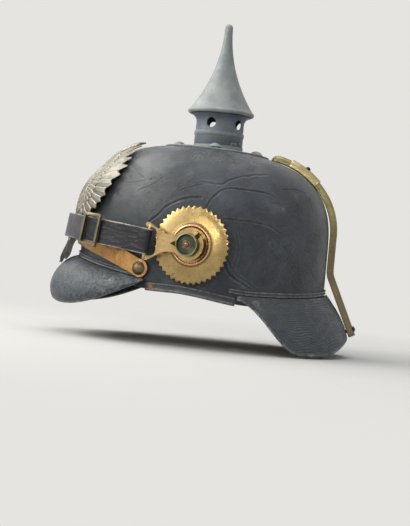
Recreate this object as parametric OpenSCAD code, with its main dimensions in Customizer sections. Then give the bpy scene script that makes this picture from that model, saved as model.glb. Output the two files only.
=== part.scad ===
// Spiked leather helmet with brass and grey-painted fittings. Units are millimetres.
// +Z runs up the spike, the front is -Y and the wearer's left is +X.
// The origin is on the spike's axis, at the level of the rim behind the ears.

/* [Shell] */
// Length of the leather shell, front to back, outside
shell_len = 196.5; // [176:0.5:215]
// Width of the leather shell, outside
shell_w = 166; // [150:0.5:182]
// Height of the crown above the rim at the ears
crown_h = 116; // [106:0.5:128]
// Height at which the walls start to curve in
spring_h = 44; // [36:0.5:50]
// Thickness of the shell leather
leather_t = 2.6; // [1.8:0.1:3.4]
// How far the rim rises at the front centre
front_rise = 13; // [8:0.5:18]
// How far the rim falls behind the ears
rear_fall = 6.2; // [2:0.1:9]
// How far the rim rises again at the rear centre
rear_rise = 6; // [0:0.5:7]

/* [Visor and neck guard] */
// How far the visor reaches in front of the shell
visor_out = 19; // [13:0.5:26]
// Depth of the visor's front edge below the origin
visor_drop = 10; // [4:0.5:16]
// How far the neck guard reaches behind the shell
guard_out = 22; // [16:0.5:28]
// Depth of the neck guard's lowest points below the origin
guard_drop = 37; // [30:0.5:44]
// How much the neck guard's edge rises at the rear centre
guard_arch = 13; // [8:0.5:20]
// Thickness of visor and neck guard
peak_t = 2.2; // [1.6:0.1:2.8]
// Width of the piping above visor and neck guard
piping_w = 3.7; // [2.5:0.1:4.5]
// Thickness of the piping and of the edge binding
piping_t = 1.1; // [0.8:0.1:1.4]

/* [Spike] */
// Height of the spike above its foot
spike_h = 97.7; // [70:0.1:120]
// Height of the perforated neck above its foot
neck_h = 26.2; // [24:0.1:34]
// Radius of the flared rim of the spike
flare_r = 26.5; // [25:0.5:32]
// Radius at the tip of the spike
tip_r = 3.2; // [2:0.1:5]
// Outside radius of the neck
neck_r = 19.4; // [18.8:0.1:20.4]
// Wall of the spike and the neck
sheet_t = 1; // [0.7:0.1:1.3]
// Number of air holes round the neck
hole_count = 5; // [3:1:7]
// Radius of each air hole
hole_r = 3.8; // [2:0.1:4.2]
// Turn that unlocks the spike from its pins, in degrees
unlock_turn = 26; // [15:1:40]

/* [Base plate] */
// Radius of the base plate
plate_r = 41.5; // [38.5:0.5:42]
// Distance of the four studs from the centre
stud_ring = 31; // [29:0.5:32]
// Radius of a stud's domed head
stud_head_r = 5.2; // [3.5:0.1:5.6]
// Thickness of the base plate
plate_t = 0.9; // [0.9:0.1:1.4]

/* [Rear spine] */
// Width of the rear spine
spine_w = 12; // [10:0.5:14]
// Height of the rear spine above the leather
spine_d = 5.6; // [3.8:0.1:6.4]
// Thickness of the spine's brass
spine_t = 0.9; // [0.7:0.05:1.1]
// Length of the vent slide along the spine
slide_len = 28; // [22:0.5:32]
// Travel of the vent slide, in degrees round the bend
slide_turn = 7; // [4:0.5:9]

/* [Side posts and rosettes] */
// Height of the side posts above the origin
post_h = 38.3; // [37:0.1:44]
// Distance of the side posts in front of the spike's axis
post_y = 6.7; // [3:0.1:10]
// Forward turn of the posts, in degrees
post_yaw = 14; // [10:1:15]
// Radius of a rosette over its teeth
rosette_r = 29.6; // [24:0.1:30.5]
// Number of teeth round a rosette
teeth = 40; // [24:1:48]
// Depth of the rosette's teeth
tooth_d = 2.1; // [1:0.1:3]
// Radius of the post's head
post_head_r = 8.4; // [7:0.1:9]
// Radius of the post's neck, on which the strap turns
post_neck_r = 4.6; // [3.8:0.1:5]

/* [Chinstrap] */
// Width of the chinstrap
strap_w = 19; // [16:0.5:21]
// Thickness of one layer of the chinstrap
strap_t = 1.8; // [1.4:0.1:2.1]
// Upward slope of the chinstrap, in degrees
strap_slope = 7; // [6:0.1:9.5]
// How far the chinstrap stands in front of the shell
strap_stand = 10.6; // [10:0.1:16]
// Distance from the post to the bar that the strap is looped round
fitting_len = 32.5; // [30:0.5:34]
// Angle of each buckle round the strap, from the wearer's side, in degrees
buckle_at = 42; // [38:1:48]
// Length of a buckle along the strap
buckle_len = 19.5; // [17:0.5:24]
// Travel of each buckle, in degrees round the strap
buckle_turn = 18; // [8:1:18]

/* [Front plate] */
// Width over the wing tips of the front plate
wings_w = 112; // [100:1:116]
// Thickness of the front plate
emblem_t = 1.2; // [0.8:0.1:1.6]
// How far the front plate stands off the leather
emblem_stand = 3.5; // [3:0.1:4]

/* [Front band] */
// Width of the brass band over the visor
band_w = 14; // [10:0.5:15]
// Thickness of the brass band
band_t = 1.2; // [0.8:0.1:1.5]
// Radius of a band stud's domed head
band_stud_r = 5.2; // [3.5:0.1:5.6]

/* [Liner] */
// Height of the sweatband's upper edge
sweatband_h = 33; // [28:1:34]
// Number of liner tongues
tongues = 10; // [8:1:12]
// Thickness of the liner leather
liner_t = 1.2; // [0.8:0.1:1.6]

/* [Fits] */
// Gap between parts that only rest on each other
seat = 0.3; // [0.2:0.05:0.35]
// Gap between parts that slide or turn on each other
running = 0.1; // [0.06:0.01:0.14]

/* [Hidden] */
$fn = 64;
half_l = shell_len / 2;
half_w = shell_w / 2;
mid_y = -3.25;
rear_y = mid_y + half_l;
front_y = mid_y - half_l;
// The plan is a little wider behind the ears than in front of them
egg = 0.08;
// The crown leans a little to the rear
lean = 0.035;
dome_h = crown_h - spring_h;

function smooth(t) = let (c = max(0, min(1, t))) c * c * (3 - 2 * c);
function bend(a, b, c, d, t) =
    a * pow(1 - t, 3) + 3 * b * t * pow(1 - t, 2) + 3 * c * t * t * (1 - t) + d * pow(t, 3);

// Plan of the shell. Angle 0 is the wearer's left, 90 the rear, -90 the front.
function plan_x(a, o = 0) = (half_w + o) * cos(a) * (1 + egg * sin(a));
function plan_y(a, o = 0) = mid_y + (half_l + o) * sin(a);
function plan_normal(a) =
    let (dx = half_w * (egg * cos(a) * cos(a) - sin(a) * (1 + egg * sin(a))), dy = half_l * cos(a))
    [dy, -dx] / norm([dx, dy]);
function plan(a, o) = [plan_x(a), plan_y(a)] + o * plan_normal(a);
function angle_of(y) = asin(max(-1, min(1, (y - mid_y) / half_l)));

// Height of the shell's lower edge
rim_ears = 3.2;
rise_from = 24;
function rim_z(a) =
    let (ahead = asin(-sin(a)), t = max(0, (ahead - rise_from) / (90 - rise_from)))
    rim_ears - rear_fall * smooth((plan_y(a) + 20) / 62) + front_rise * 1.2 * (t - pow(t, 6) / 6)
    + rear_rise * pow(max(0, (-ahead - 20) / 70), 1.6);

// A point of the crown. f runs from 0 at the spring line to 90 at the top, o is the offset outwards.
// The power makes the brow rounder than the rear, and the top equally flat in every direction.
rear_power = 2.95;
function crown_power(a, f) =
    let (k = f / 90, front = 2.25 + 0.9 * pow(k, 1.5), side = 2.8 + 0.9 * k * k, s = pow(sin(a), 2))
    side + ((sin(a) < 0 ? front : rear_power) - side) * s;
function crown(a, f, o = 0) =
    let (p = crown_power(a, f), u = pow(cos(f), 2 / p), w = pow(sin(f), 2 / p))
    let (x = plan_x(a, o) * u, y = mid_y + (half_l + o) * sin(a) * u)
    [x, y, spring_h + (dome_h + o) * w - lean * y];
function crown_normal(a, f) =
    let (v = cross(crown(a + 0.5, f) - crown(a - 0.5, f), crown(a, f + 0.5) - crown(a, f - 0.5)))
    v / norm(v);
function wall(a, s, o = 0) =
    let (y = plan_y(a, o), top = spring_h - lean * y)
    [plan_x(a, o), y, rim_z(a) + s * (top - rim_z(a))];
// Height of the level crown at a distance from the spike's axis
function crown_z(r, o = 0) =
    spring_h + (dome_h + o) * pow(max(0, 1 - pow(min(1, r / (half_l + o)), rear_power)), 1 / rear_power);

// Grids of points: each row is a list of points, and the next row lies above, below or outside it.
function cell(g, i, j, closed) =
    let (n = len(g), m = len(g[0]))
    g[max(0, min(n - 1, i))][closed ? (j + m) % m : max(0, min(m - 1, j))];
function normal(g, i, j, closed) =
    let (v = cross(cell(g, i + 1, j, closed) - cell(g, i - 1, j, closed),
        cell(g, i, j + 1, closed) - cell(g, i, j - 1, closed)))
    v / norm(v);
function moved(g, d, closed) =
    [for (i = [0 : len(g) - 1]) [for (j = [0 : len(g[0]) - 1]) g[i][j] + d * normal(g, i, j, closed)]];

// A closed solid between two grids of the same size. Seen from its own side, the front grid's
// rows go up and its columns to the right.
module between(front, back, closed = false) {
    n = len(front);
    m = len(front[0]);
    last = closed ? m - 1 : m - 2;
    points = [for (row = front) each row, for (row = back) each row];
    function id(i, j) = i * m + j % m;
    h = n * m;
    faces = [
        for (i = [0 : n - 2]) for (j = [0 : last]) each [
            [id(i, j), id(i + 1, j), id(i + 1, j + 1)],
            [id(i, j), id(i + 1, j + 1), id(i, j + 1)],
            [h + id(i, j), h + id(i + 1, j + 1), h + id(i + 1, j)],
            [h + id(i, j), h + id(i, j + 1), h + id(i + 1, j + 1)]
        ],
        for (j = [0 : last]) each [
            [id(0, j), id(0, j + 1), h + id(0, j + 1)],
            [id(0, j), h + id(0, j + 1), h + id(0, j)],
            [id(n - 1, j), h + id(n - 1, j + 1), id(n - 1, j + 1)],
            [id(n - 1, j), h + id(n - 1, j), h + id(n - 1, j + 1)]
        ],
        if (!closed) for (i = [0 : n - 2]) each [
            [id(i, 0), h + id(i, 0), h + id(i + 1, 0)],
            [id(i, 0), h + id(i + 1, 0), id(i + 1, 0)],
            [id(i, m - 1), h + id(i + 1, m - 1), h + id(i, m - 1)],
            [id(i, m - 1), id(i + 1, m - 1), h + id(i + 1, m - 1)]
        ]
    ];
    polyhedron(points, faces, convexity = 6);
}

// A sheet whose outer face is the grid. The first has rows that go up, the second rows that go down.
module sheet_up(g, t) {
    between(g, moved(g, t, false));
}
module sheet_down(g, t) {
    between(moved(g, -t, false), g);
}

// A section of offset and height above the rim, swept along the plan. The section runs clockwise.
module along_plan(section, from, to, steps) {
    m = len(section);
    points = [
        for (k = [0 : steps]) let (a = from + (to - from) * k / steps)
            for (q = section) let (p = plan(a, q[0])) [p[0], p[1], rim_z(a) + q[1]]
    ];
    faces = [
        [for (i = [0 : m - 1]) i],
        [for (i = [m - 1 : -1 : 0]) steps * m + i],
        for (k = [0 : steps - 1]) for (i = [0 : m - 1]) let (n = (i + 1) % m) each [
            [k * m + i, (k + 1) * m + i, (k + 1) * m + n],
            [k * m + i, (k + 1) * m + n, k * m + n]
        ]
    ];
    polyhedron(points, faces, convexity = 6);
}

module mirrored() {
    mirror([1, 0, 0]) children();
}

// Places children at a point, with their +Z along a direction of length 1
module facing(p, n) {
    translate(p) rotate([0, acos(n[2]), atan2(n[1], n[0])]) children();
}

// A head with a domed top and a flat underside
module domed_head(r, h) {
    bulge = (r * r + h * h) / (2 * h);
    intersection() {
        translate([0, 0, h - bulge]) sphere(r = bulge);
        cylinder(r = r + 1, h = h + 1);
    }
}

// The frame of a side post on the wearer's left: +Z leaves the shell, -Y points forwards
post_a = angle_of(-post_y);
post_foot = [plan_x(post_a), plan_y(post_a), post_h];
module at_post() {
    translate(post_foot) rotate([0, 0, -post_yaw]) rotate([0, 90, 0]) children();
}

// Shell with its holes for every fitting that goes through it
shell_columns = 48;
crown_rows = 11;
last_step = 88;
vent_r = 16.5;
shank_r = 1.8;
post_shank_r = 2;
// Steps up the crown close up towards the top, where the hole is cut
function crown_step(i) = last_step * pow(i / crown_rows, 0.85);
function shell_grid(o) = [
    for (s = [0, 0.5]) [for (j = [0 : shell_columns - 1]) wall(j * 360 / shell_columns, s, o)],
    for (i = [0 : crown_rows]) [
        for (j = [0 : shell_columns - 1]) crown(j * 360 / shell_columns, crown_step(i), o)
    ]
];
module shell() {
    color([0.16, 0.18, 0.21]) difference() {
        between(shell_grid(0), shell_grid(-leather_t), true);
        translate([0, 0, crown_h - 15]) cylinder(r = vent_r + seat, h = 30);
        plate_frame() studs_ring() translate([0, 0, crown_h - 25]) cylinder(r = shank_r + seat, h = 40);
        at_post() translate([0, 0, -15]) cylinder(r = post_shank_r + seat, h = 30);
        mirrored() at_post() translate([0, 0, -15]) cylinder(r = post_shank_r + seat, h = 30);
        emblem_post_frames() translate([0, 0, -12]) cylinder(r = emblem_post_r + seat, h = 24);
        band_stud_frames() translate([0, 0, -8]) cylinder(r = band_shank_r + seat, h = 16);
    }
}

// Bound edge of the shell at the ears, between visor and neck guard
binding_leg = 4.6;
module edge_binding() {
    from = visor_end + 1;
    to = guard_end - 1;
    inner = -leather_t - seat;
    section = [
        [seat + piping_t, binding_leg], [seat + piping_t, -seat - piping_t],
        [inner - piping_t, -seat - piping_t], [inner - piping_t, binding_leg],
        [inner, binding_leg], [inner, -seat], [seat, -seat], [seat, binding_leg]
    ];
    color([0.12, 0.13, 0.15]) {
        along_plan(section, from, to, 14);
        mirrored() along_plan(section, from, to, 14);
    }
}

// Visor. Its root lies against the shell above the rim, and its edge is half an ellipse.
root_lap = 7;
peak_rows = 8;
visor_y0 = -41;
visor_end = angle_of(visor_y0);
visor_columns = 28;
visor_half_w = plan_x(visor_end) + 6;
visor_len = visor_y0 - front_y + visor_out;
// A line from root to edge, with the shares of run and fall that its two inner handles reach
function drooped(root, edge, out, down, t) =
    let (run = [edge[0] - root[0], edge[1] - root[1]], fall = edge[2] - root[2])
    let (u = bend(0, out[0], out[1], 1, t), v = bend(0, down[0], down[1], 1, t))
    [root[0] + run[0] * u, root[1] + run[1] * u, root[2] + fall * v];
function visor_edge(v) =
    let (q = 1 - cos(90 * v), end_z = rim_z(visor_end) + root_lap - 1.3)
    [visor_half_w * sin(90 * v), visor_y0 - visor_len * cos(90 * v),
        -visor_drop + (visor_drop + end_z) * pow(q, 1.8) - 6.3 * sin(180 * pow(q, 0.6))];
function visor_root(v) =
    let (a = -90 + (90 + visor_end) * v, p = plan(a, seat + 0.2 * peak_t))
    [p[0], p[1], rim_z(a) + root_lap];
function visor_point(v, t) = drooped(visor_root(v), visor_edge(v), [0.7, 1.45], [0.05, 0.62], t);
module front_visor() {
    grid = [
        for (i = [0 : peak_rows]) [
            for (j = [0 : visor_columns]) visor_point(j * 2 / visor_columns - 1, i / peak_rows)
        ]
    ];
    color([0.25, 0.27, 0.29]) sheet_down(grid, peak_t);
}

// Neck guard
guard_y0 = 29.7;
guard_end = angle_of(guard_y0);
guard_columns = 36;
guard_half_w = plan_x(guard_end) + 5.7;
guard_len = rear_y + guard_out - guard_y0;
// Share of the reach at which the edge is lowest
guard_low = 0.6;
guard_end_z = 1;
function guard_edge(v) =
    let (c = cos(90 * v))
    [guard_half_w * sin(90 * v), guard_y0 + guard_len * c,
        guard_end_z - (guard_drop + guard_end_z) * smooth(c / guard_low)
        + guard_arch * pow(max(0, (c - guard_low) / (1 - guard_low)), 4)];
function guard_root(v) =
    let (a = 90 - (90 - guard_end) * v, p = plan(a, seat + 0.8 * peak_t))
    [p[0], p[1], rim_z(a) + root_lap];
function guard_point(v, t) = drooped(guard_root(v), guard_edge(v), [0.42, 0.85], [0.3, 0.6], t);
module neck_guard() {
    grid = [
        for (i = [0 : peak_rows]) [
            for (j = [0 : guard_columns]) guard_point(1 - j * 2 / guard_columns, i / peak_rows)
        ]
    ];
    color([0.25, 0.27, 0.29]) difference() {
        sheet_down(grid, peak_t);
        spine_screw_frame() translate([0, 0, -10]) cylinder(r = screw_r + seat, h = 30);
    }
}

// Piping that lies on the shell above the roots of visor and neck guard
module piping(from, to, steps) {
    low = root_lap + seat;
    section = [
        [seat, low + piping_w], [seat + piping_t, low + piping_w], [seat + piping_t, low], [seat, low]
    ];
    along_plan(section, from, to, steps);
}
module front_piping() {
    color([0.14, 0.15, 0.17]) piping(-180 - visor_end, visor_end, 36);
}
module rear_piping() {
    // It starts a little ahead of the guard, in degrees
    lead = 4.3;
    color([0.14, 0.15, 0.17]) piping(guard_end - lead, 180 - guard_end + lead, 42);
}

// Sweatband inside the rim
band_in = leather_t + 2 * seat + piping_t;
sweatband_taper = 0.8;
module sweatband() {
    columns = 40;
    function row(s, o) = [
        for (j = [0 : columns - 1]) let (a = j * 360 / columns, p = plan(a, -o))
            [p[0], p[1], s * sweatband_h + (1 - s) * rim_z(a)]
    ];
    function face(o) = [row(0, o), row(0.5, o), row(1, o + sweatband_taper)];
    color([0.35, 0.24, 0.16]) between(face(band_in), face(band_in + liner_t), true);
}

// Leather tongues that carry the helmet on the head
tongue_top = 0.42;
tongue_lap = 6;
module liner_tongues() {
    step = 360 / tongues;
    rows = 6;
    color([0.42, 0.3, 0.2]) for (k = [0 : tongues - 1]) {
        grid = [
            for (i = [0 : rows]) [
                for (j = [0 : 4]) tongue_point(k * step + 9, (j / 4 - 0.5) * step * 0.88, i / rows)
            ]
        ];
        sheet_up(grid, liner_t);
    }
}
// s runs up the tongue from below the sweatband's top edge
function tongue_point(a, side, s) =
    let (b = a + side * (1 - 0.35 * s), o = band_in + sweatband_taper + liner_t + seat)
    let (p = plan(b, -o), shrink = 1 - (1 - tongue_top) * pow(s, 1.6))
    [p[0] * shrink, mid_y + (p[1] - mid_y) * shrink,
        sweatband_h - tongue_lap + (crown_h - sweatband_h - 18) * (1 - pow(1 - s, 1.7))];

// Base plate with the foot ring and the collar that carries the spike
foot_z = crown_h + 4.1;
collar_r = neck_r - sheet_t - running;
foot_r = neck_r + 0.5;
plate_lean = 2.4;
module plate_frame() {
    translate([0, 0, crown_h]) rotate([-plate_lean, 0, 0]) translate([0, 0, -crown_h]) children();
}
module studs_ring() {
    for (k = [0 : 3]) rotate([0, 0, 90 * k]) translate([stud_ring, 0, 0]) children();
}
module base_plate() {
    samples = 8;
    depth = 3;
    top = seat + plate_t;
    under = [for (k = [0 : samples]) let (r = plate_r * k / samples) [r, crown_z(r) - depth]];
    over = [for (k = [samples : -1 : 0]) let (r = plate_r * k / samples) [r, crown_z(r) + top]];
    color([0.36, 0.39, 0.41]) difference() {
        union() {
            plate_frame() rotate_extrude($fn = 96) polygon(concat(under, over));
            translate([0, 0, crown_h - 2]) cylinder(r = foot_r, h = foot_z - seat - crown_h + 2, $fn = 96);
            translate([0, 0, crown_h - 2]) cylinder(r = collar_r, h = 17, $fn = 96);
        }
        between(shell_grid(seat), shell_grid(-12), true);
        translate([0, 0, crown_h - 30]) cylinder(r = collar_r - sheet_t, h = 60, $fn = 96);
        plate_frame() studs_ring() translate([0, 0, 20]) cylinder(r = shank_r + seat, h = crown_h);
        pin_places() cylinder(r = pin_r, h = 2 * neck_r);
    }
}

// Two pins in the collar lock the spike
pin_r = 1.1;
pin_z = foot_z + 2.3;
pin_angle = 63;
module pin_places() {
    for (k = [0, 1]) translate([0, 0, pin_z]) rotate([0, 90, pin_angle + 180 * k]) children();
}
module bayonet_pins() {
    from = collar_r - sheet_t;
    color([0.3, 0.32, 0.34]) pin_places() translate([0, 0, from])
        cylinder(r = pin_r, h = neck_r + 0.2 - from);
}

module base_studs() {
    top = crown_z(stud_ring - stud_head_r) + seat + plate_t + running / 2;
    color([0.33, 0.36, 0.38]) plate_frame() studs_ring() translate([0, 0, top]) {
        domed_head(stud_head_r, 3);
        translate([0, 0, -12]) cylinder(r = shank_r, h = 12.2);
    }
}

module stud_washers() {
    washer_r = 6;
    washer_t = 1.2;
    under = crown_z(stud_ring + washer_r, -leather_t) - seat - 0.5 - washer_t;
    color([0.45, 0.4, 0.3]) plate_frame() studs_ring() translate([0, 0, under]) difference() {
        cylinder(r = washer_r, h = washer_t);
        translate([0, 0, -1]) cylinder(r = shank_r + running / 2, h = 4);
    }
}

// Spike: a flared cone with a rolled rim, over a perforated neck
cone_z = foot_z + neck_h;
tip_z = foot_z + spike_h;
flare_power = 2.2;
flare_bead = 1.8;
solid_tip = 12;
function cone_r(z, o = 0) =
    tip_r - o + (flare_r - tip_r) * pow(max(0, (tip_z - z) / (tip_z - cone_z)), flare_power);
module spike_cone() {
    samples = 26;
    // Rings of the outline close up towards the flare
    function rise(k) = pow(k / samples, 1.5);
    top = tip_z - tip_r;
    hollow = top - solid_tip;
    outside = [
        for (k = [samples : -1 : 0]) let (z = cone_z + (top - cone_z) * rise(k)) [cone_r(z), z]
    ];
    inside = [
        for (k = [0 : samples]) let (z = cone_z + (hollow - cone_z) * rise(k))
            [max(0.6, cone_r(z, sheet_t)), z]
    ];
    color([0.4, 0.43, 0.45]) {
        rotate_extrude($fn = 96) polygon(concat([[0, hollow], [0, top]], outside, inside));
        translate([0, 0, top]) sphere(r = cone_r(top));
        translate([0, 0, cone_z]) rotate_extrude($fn = 96)
            translate([flare_r - flare_bead, 0]) circle(r = flare_bead, $fn = 24);
    }
}

module spike_neck() {
    cove_r = 6.2;
    hole_rise = 16.9;
    // A soft ring round the neck, as half its height and how far it stands out
    ring_h = 1.9;
    ring_out = 0.5;
    cove_z = cone_z - flare_bead - seat;
    ring_z = foot_z + 8.9;
    waist_r = neck_r - 0.3;
    outer = concat(
        [[neck_r, foot_z]],
        [[neck_r, ring_z - ring_h]],
        [for (a = [-60 : 30 : 60]) [neck_r + ring_out * cos(a), ring_z + ring_h * sin(a)]],
        [[waist_r, ring_z + ring_h]],
        [for (a = [0 : 7.5 : 75]) [waist_r + cove_r * (1 - cos(a)), cove_z - cove_r * (1 - sin(a))]]
    );
    edge = waist_r + cove_r * (1 - cos(75));
    inner_r = neck_r - sheet_t;
    color([0.38, 0.41, 0.43]) difference() {
        rotate_extrude($fn = 96)
            polygon(concat(outer, [[edge, cove_z], [inner_r, cove_z], [inner_r, foot_z]]));
        for (k = [0 : hole_count - 1]) translate([0, 0, foot_z + hole_rise])
            rotate([0, 90, k * 360 / hole_count - 90]) cylinder(r = hole_r, h = 2 * neck_r);
        for (k = [0, 1]) rotate([0, 0, pin_angle + 180 * k]) bayonet_slot();
    }
}

// A slot round the neck with an entry from below. The pin lies at its rear end when locked.
module bayonet_slot() {
    slot = pin_r + running;
    in_r = neck_r - 3;
    translate([0, 0, pin_z]) rotate([0, 90, 0]) cylinder(r = slot, h = 2 * neck_r);
    translate([0, 0, pin_z]) rotate([0, 90, -unlock_turn]) cylinder(r = slot, h = 2 * neck_r);
    translate([0, 0, pin_z - slot]) rotate([0, 0, -unlock_turn])
        rotate_extrude(angle = unlock_turn, $fn = 96) translate([in_r, 0]) square([6, 2 * slot]);
    rotate([0, 0, -unlock_turn]) translate([in_r, -slot, foot_z - 1])
        cube([6, 2 * slot, pin_z - foot_z + 1]);
}

// Rear spine: an arc round the crown, a tighter one down to a straight drop, and a sloped tail on
// the neck guard
arc_y = rear_y - 59.2;
arc_z = crown_h - 64.7;
// Angle at which the two arcs meet, and how much smaller the lower one's radius is
join_deg = 34;
tighter = 9.3;
low_y = arc_y + tighter * cos(join_deg);
low_z = arc_z + tighter * sin(join_deg);
function middle_reach(f) = norm([crown(90, f)[1] - arc_y, crown(90, f)[2] - arc_z]);
spine_in = max([for (f = [6 : 2 : 70]) middle_reach(f)]) + seat;
spine_out = spine_in + spine_d;
drop_y = low_y + spine_in - tighter;
arc_from = 77.5;
tail_bend = 14;
tail_deg = 25;
// Distance outwards along the tail's normal, and the corner where drop and tail would meet
function tail_out(p) = p[1] * cos(tail_deg) + p[2] * sin(tail_deg);
tail_rest = max([for (k = [0 : peak_rows]) tail_out(guard_point(0, k / peak_rows))]) + seat;
corner_z = (tail_rest - drop_y * cos(tail_deg)) / sin(tail_deg);
corner_cut = (tail_bend + spine_d) * tan(tail_deg / 2);
tail_top = corner_z + corner_cut;
lip_run = guard_edge(0)[1] - drop_y;
lip_fall = corner_z - guard_edge(0)[2];
tail_len = lip_run * sin(tail_deg) + lip_fall * cos(tail_deg) - corner_cut - 1.5;

// Half an oval on a flat base, from the base outwards along X
function arch(w, d) = [for (k = [0 : 12]) let (t = 15 * k - 90) [d * cos(t), w / 2 * sin(t)]];
module half_round(w, d, t) {
    inside = arch(w - 2 * t, d - t);
    polygon(concat(arch(w, d), [for (k = [12 : -1 : 0]) inside[k]]));
}
// Turns a shape round the bend's axis, from an angle above the rear to another
module round_bend(from, to, radius) {
    translate([0, arc_y, arc_z]) rotate([0, 0, 90]) rotate([90, 0, 0]) rotate([0, 0, from])
        rotate_extrude(angle = to - from, $fn = 128) translate([radius, 0]) children();
}
module spine_section() {
    half_round(spine_w, spine_d, spine_t);
}
// Every other length is a touch slimmer than its neighbours and runs into them, as does the domed nose
slim = 0.05;
run_in = 0.5;
run_in_deg = run_in / spine_in * 180 / PI;
module slim_section() {
    inside = arch(spine_w - 2 * spine_t + 2 * slim, spine_d - spine_t);
    translate([slim, 0])
        polygon(concat(arch(spine_w - 2 * slim, spine_d - 2 * slim), [for (k = [12 : -1 : 0]) inside[k]]));
}
module spine_nose() {
    r = spine_w / 2 - 3 * slim;
    h = spine_d - 3 * slim;
    quarter = [for (t = [0 : 15 : 90]) [r * cos(t), h * sin(t)]];
    translate([0, arc_y, arc_z]) rotate([arc_from - 90, 0, 0]) translate([0, 0, spine_in + slim])
        rotate_extrude($fn = 96) polygon(concat([[0, 0]], quarter));
}
module rear_spine() {
    slot_w = 2 * (knob_shank_r + running);
    color([0.5, 0.43, 0.22]) difference() {
        union() {
            round_bend(join_deg - run_in_deg, arc_from, spine_in) slim_section();
            spine_nose();
            translate([0, low_y - arc_y, low_z - arc_z])
                round_bend(0, join_deg, spine_in - tighter) spine_section();
            translate([0, drop_y, tail_top - run_in]) linear_extrude(low_z - tail_top + 2 * run_in)
                rotate(90) slim_section();
            spine_elbow();
            tail_frame() translate([0, 0, -tail_len]) linear_extrude(tail_len + run_in)
                rotate(90) slim_section();
            tail_pad();
        }
        round_bend(slot_from, slot_to, spine_in - 5) translate([0, -slot_w / 2]) square([20, slot_w]);
        spine_screw_frame() translate([0, 0, -20]) cylinder(r = screw_r + running / 2, h = 50);
    }
}
// The elbow turns about an axis outside the spine, and the tail starts where it ends
elbow_y = drop_y + spine_d + tail_bend;
module spine_elbow() {
    translate([0, elbow_y, tail_top]) rotate([0, 0, 90]) rotate([90, 0, 0]) rotate([0, 0, 180])
        rotate_extrude(angle = tail_deg, $fn = 96)
            translate([tail_bend + spine_d, 0]) mirror([1, 0]) spine_section();
}
module tail_frame() {
    translate([0, elbow_y, tail_top]) rotate([tail_deg, 0, 0])
        translate([0, -tail_bend - spine_d, 0]) children();
}
// A block inside the tail's end takes the screw
screw_at = -tail_len + 5;
pad_len = 9;
module tail_pad() {
    w = spine_w - spine_t;
    tail_frame() translate([-w / 2, 0, -tail_len]) cube([w, 1.2, pad_len]);
}
module spine_screw_frame() {
    tail_frame() translate([0, 0, screw_at]) rotate([-90, 0, 0]) children();
}
screw_r = 1.5;
spine_nut_top = -seat - peak_t - 0.8;
module spine_screw() {
    color([0.2, 0.2, 0.2]) spine_screw_frame() {
        translate([0, 0, spine_d + running]) domed_head(2.6, 1.4);
        translate([0, 0, spine_nut_top - 2]) cylinder(r = screw_r, h = spine_d + 0.3 - spine_nut_top + 2);
    }
}
module spine_nut() {
    color([0.45, 0.42, 0.35]) spine_screw_frame() translate([0, 0, spine_nut_top - 1.6]) difference() {
        cylinder(r = 3.2, h = 1.6, $fn = 6);
        translate([0, 0, -1]) cylinder(r = screw_r + running / 2, h = 4);
    }
}

// Vent slide over the spine, with a knob that runs in a slot
knob_shank_r = 1;
slide_mid = 56.5;
slide_half = slide_len / 2 / spine_out * 180 / PI;
slot_to = slide_mid + 1.4;
slot_from = slide_mid - slide_turn - 1.4;
slide_gap = 2 * running;
module vent_slide() {
    wider = 2 * (slide_gap + spine_t);
    color([0.56, 0.5, 0.33]) difference() {
        round_bend(slide_mid - slide_half, slide_mid + slide_half, spine_in)
            half_round(spine_w + wider, spine_d + wider / 2, spine_t);
        knob_frame() cylinder(r = knob_shank_r + running / 2, h = 20);
    }
}
// The frame's origin is on the spine's base, its +Z points outwards
module knob_frame() {
    translate([0, arc_y, arc_z]) rotate([slide_mid - 90, 0, 0]) translate([0, 0, spine_in]) children();
}
module slide_knob() {
    top = spine_d + slide_gap + spine_t + running;
    low = spine_d - spine_t - 1.6;
    color([0.3, 0.28, 0.24]) knob_frame() {
        translate([0, 0, top]) domed_head(2.2, 1.6);
        translate([0, 0, low]) cylinder(r = knob_shank_r, h = top - low + 0.3);
        translate([0, 0, low]) cylinder(r = 2.2, h = 0.8);
    }
}

// Front plate in the form of an eagle with spread wings, cut from a sheet bent round the shell
emblem_post_r = 1.5;
emblem_post_a = -70;
emblem_post_f = 22;
// The plate stands further off in its middle, and below a height it moves away by a share of the depth
emblem_swell = 2.7;
emblem_swell_below = 21;
emblem_swell_run = 24;
emblem_kick_z = 50;
emblem_kick = 0.34;
emblem_half_turn = 62;
emblem_columns = 22;
// The wearer's left half of the outline: across as a share of half the wing span, and height
half_outline = [
    [0.12, 91], [0.2, 96.5], [0.29, 105.5], [0.35, 112], [0.415, 115.5],
    [0.455, 109.5], [0.59, 112.5], [0.61, 106], [0.73, 107.5], [0.73, 101.5], [0.85, 101.5], [0.82, 96],
    [0.94, 94.5], [0.885, 90], [0.99, 87], [0.93, 82.5], [1, 79], [0.94, 75], [0.99, 70.5],
    [0.92, 68.5], [0.955, 65], [0.885, 64.5], [0.9, 59.5], [0.815, 60.5], [0.8, 55.5], [0.715, 58],
    [0.69, 52.5], [0.6, 55.5], [0.56, 50.5], [0.43, 53], [0.4, 46], [0.46, 41], [0.54, 39],
    [0.56, 34], [0.46, 33], [0.34, 36], [0.28, 31], [0.36, 22], [0.24, 18], [0.15, 20], [0.08, 15.4],
    [0, 17]
];
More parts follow.
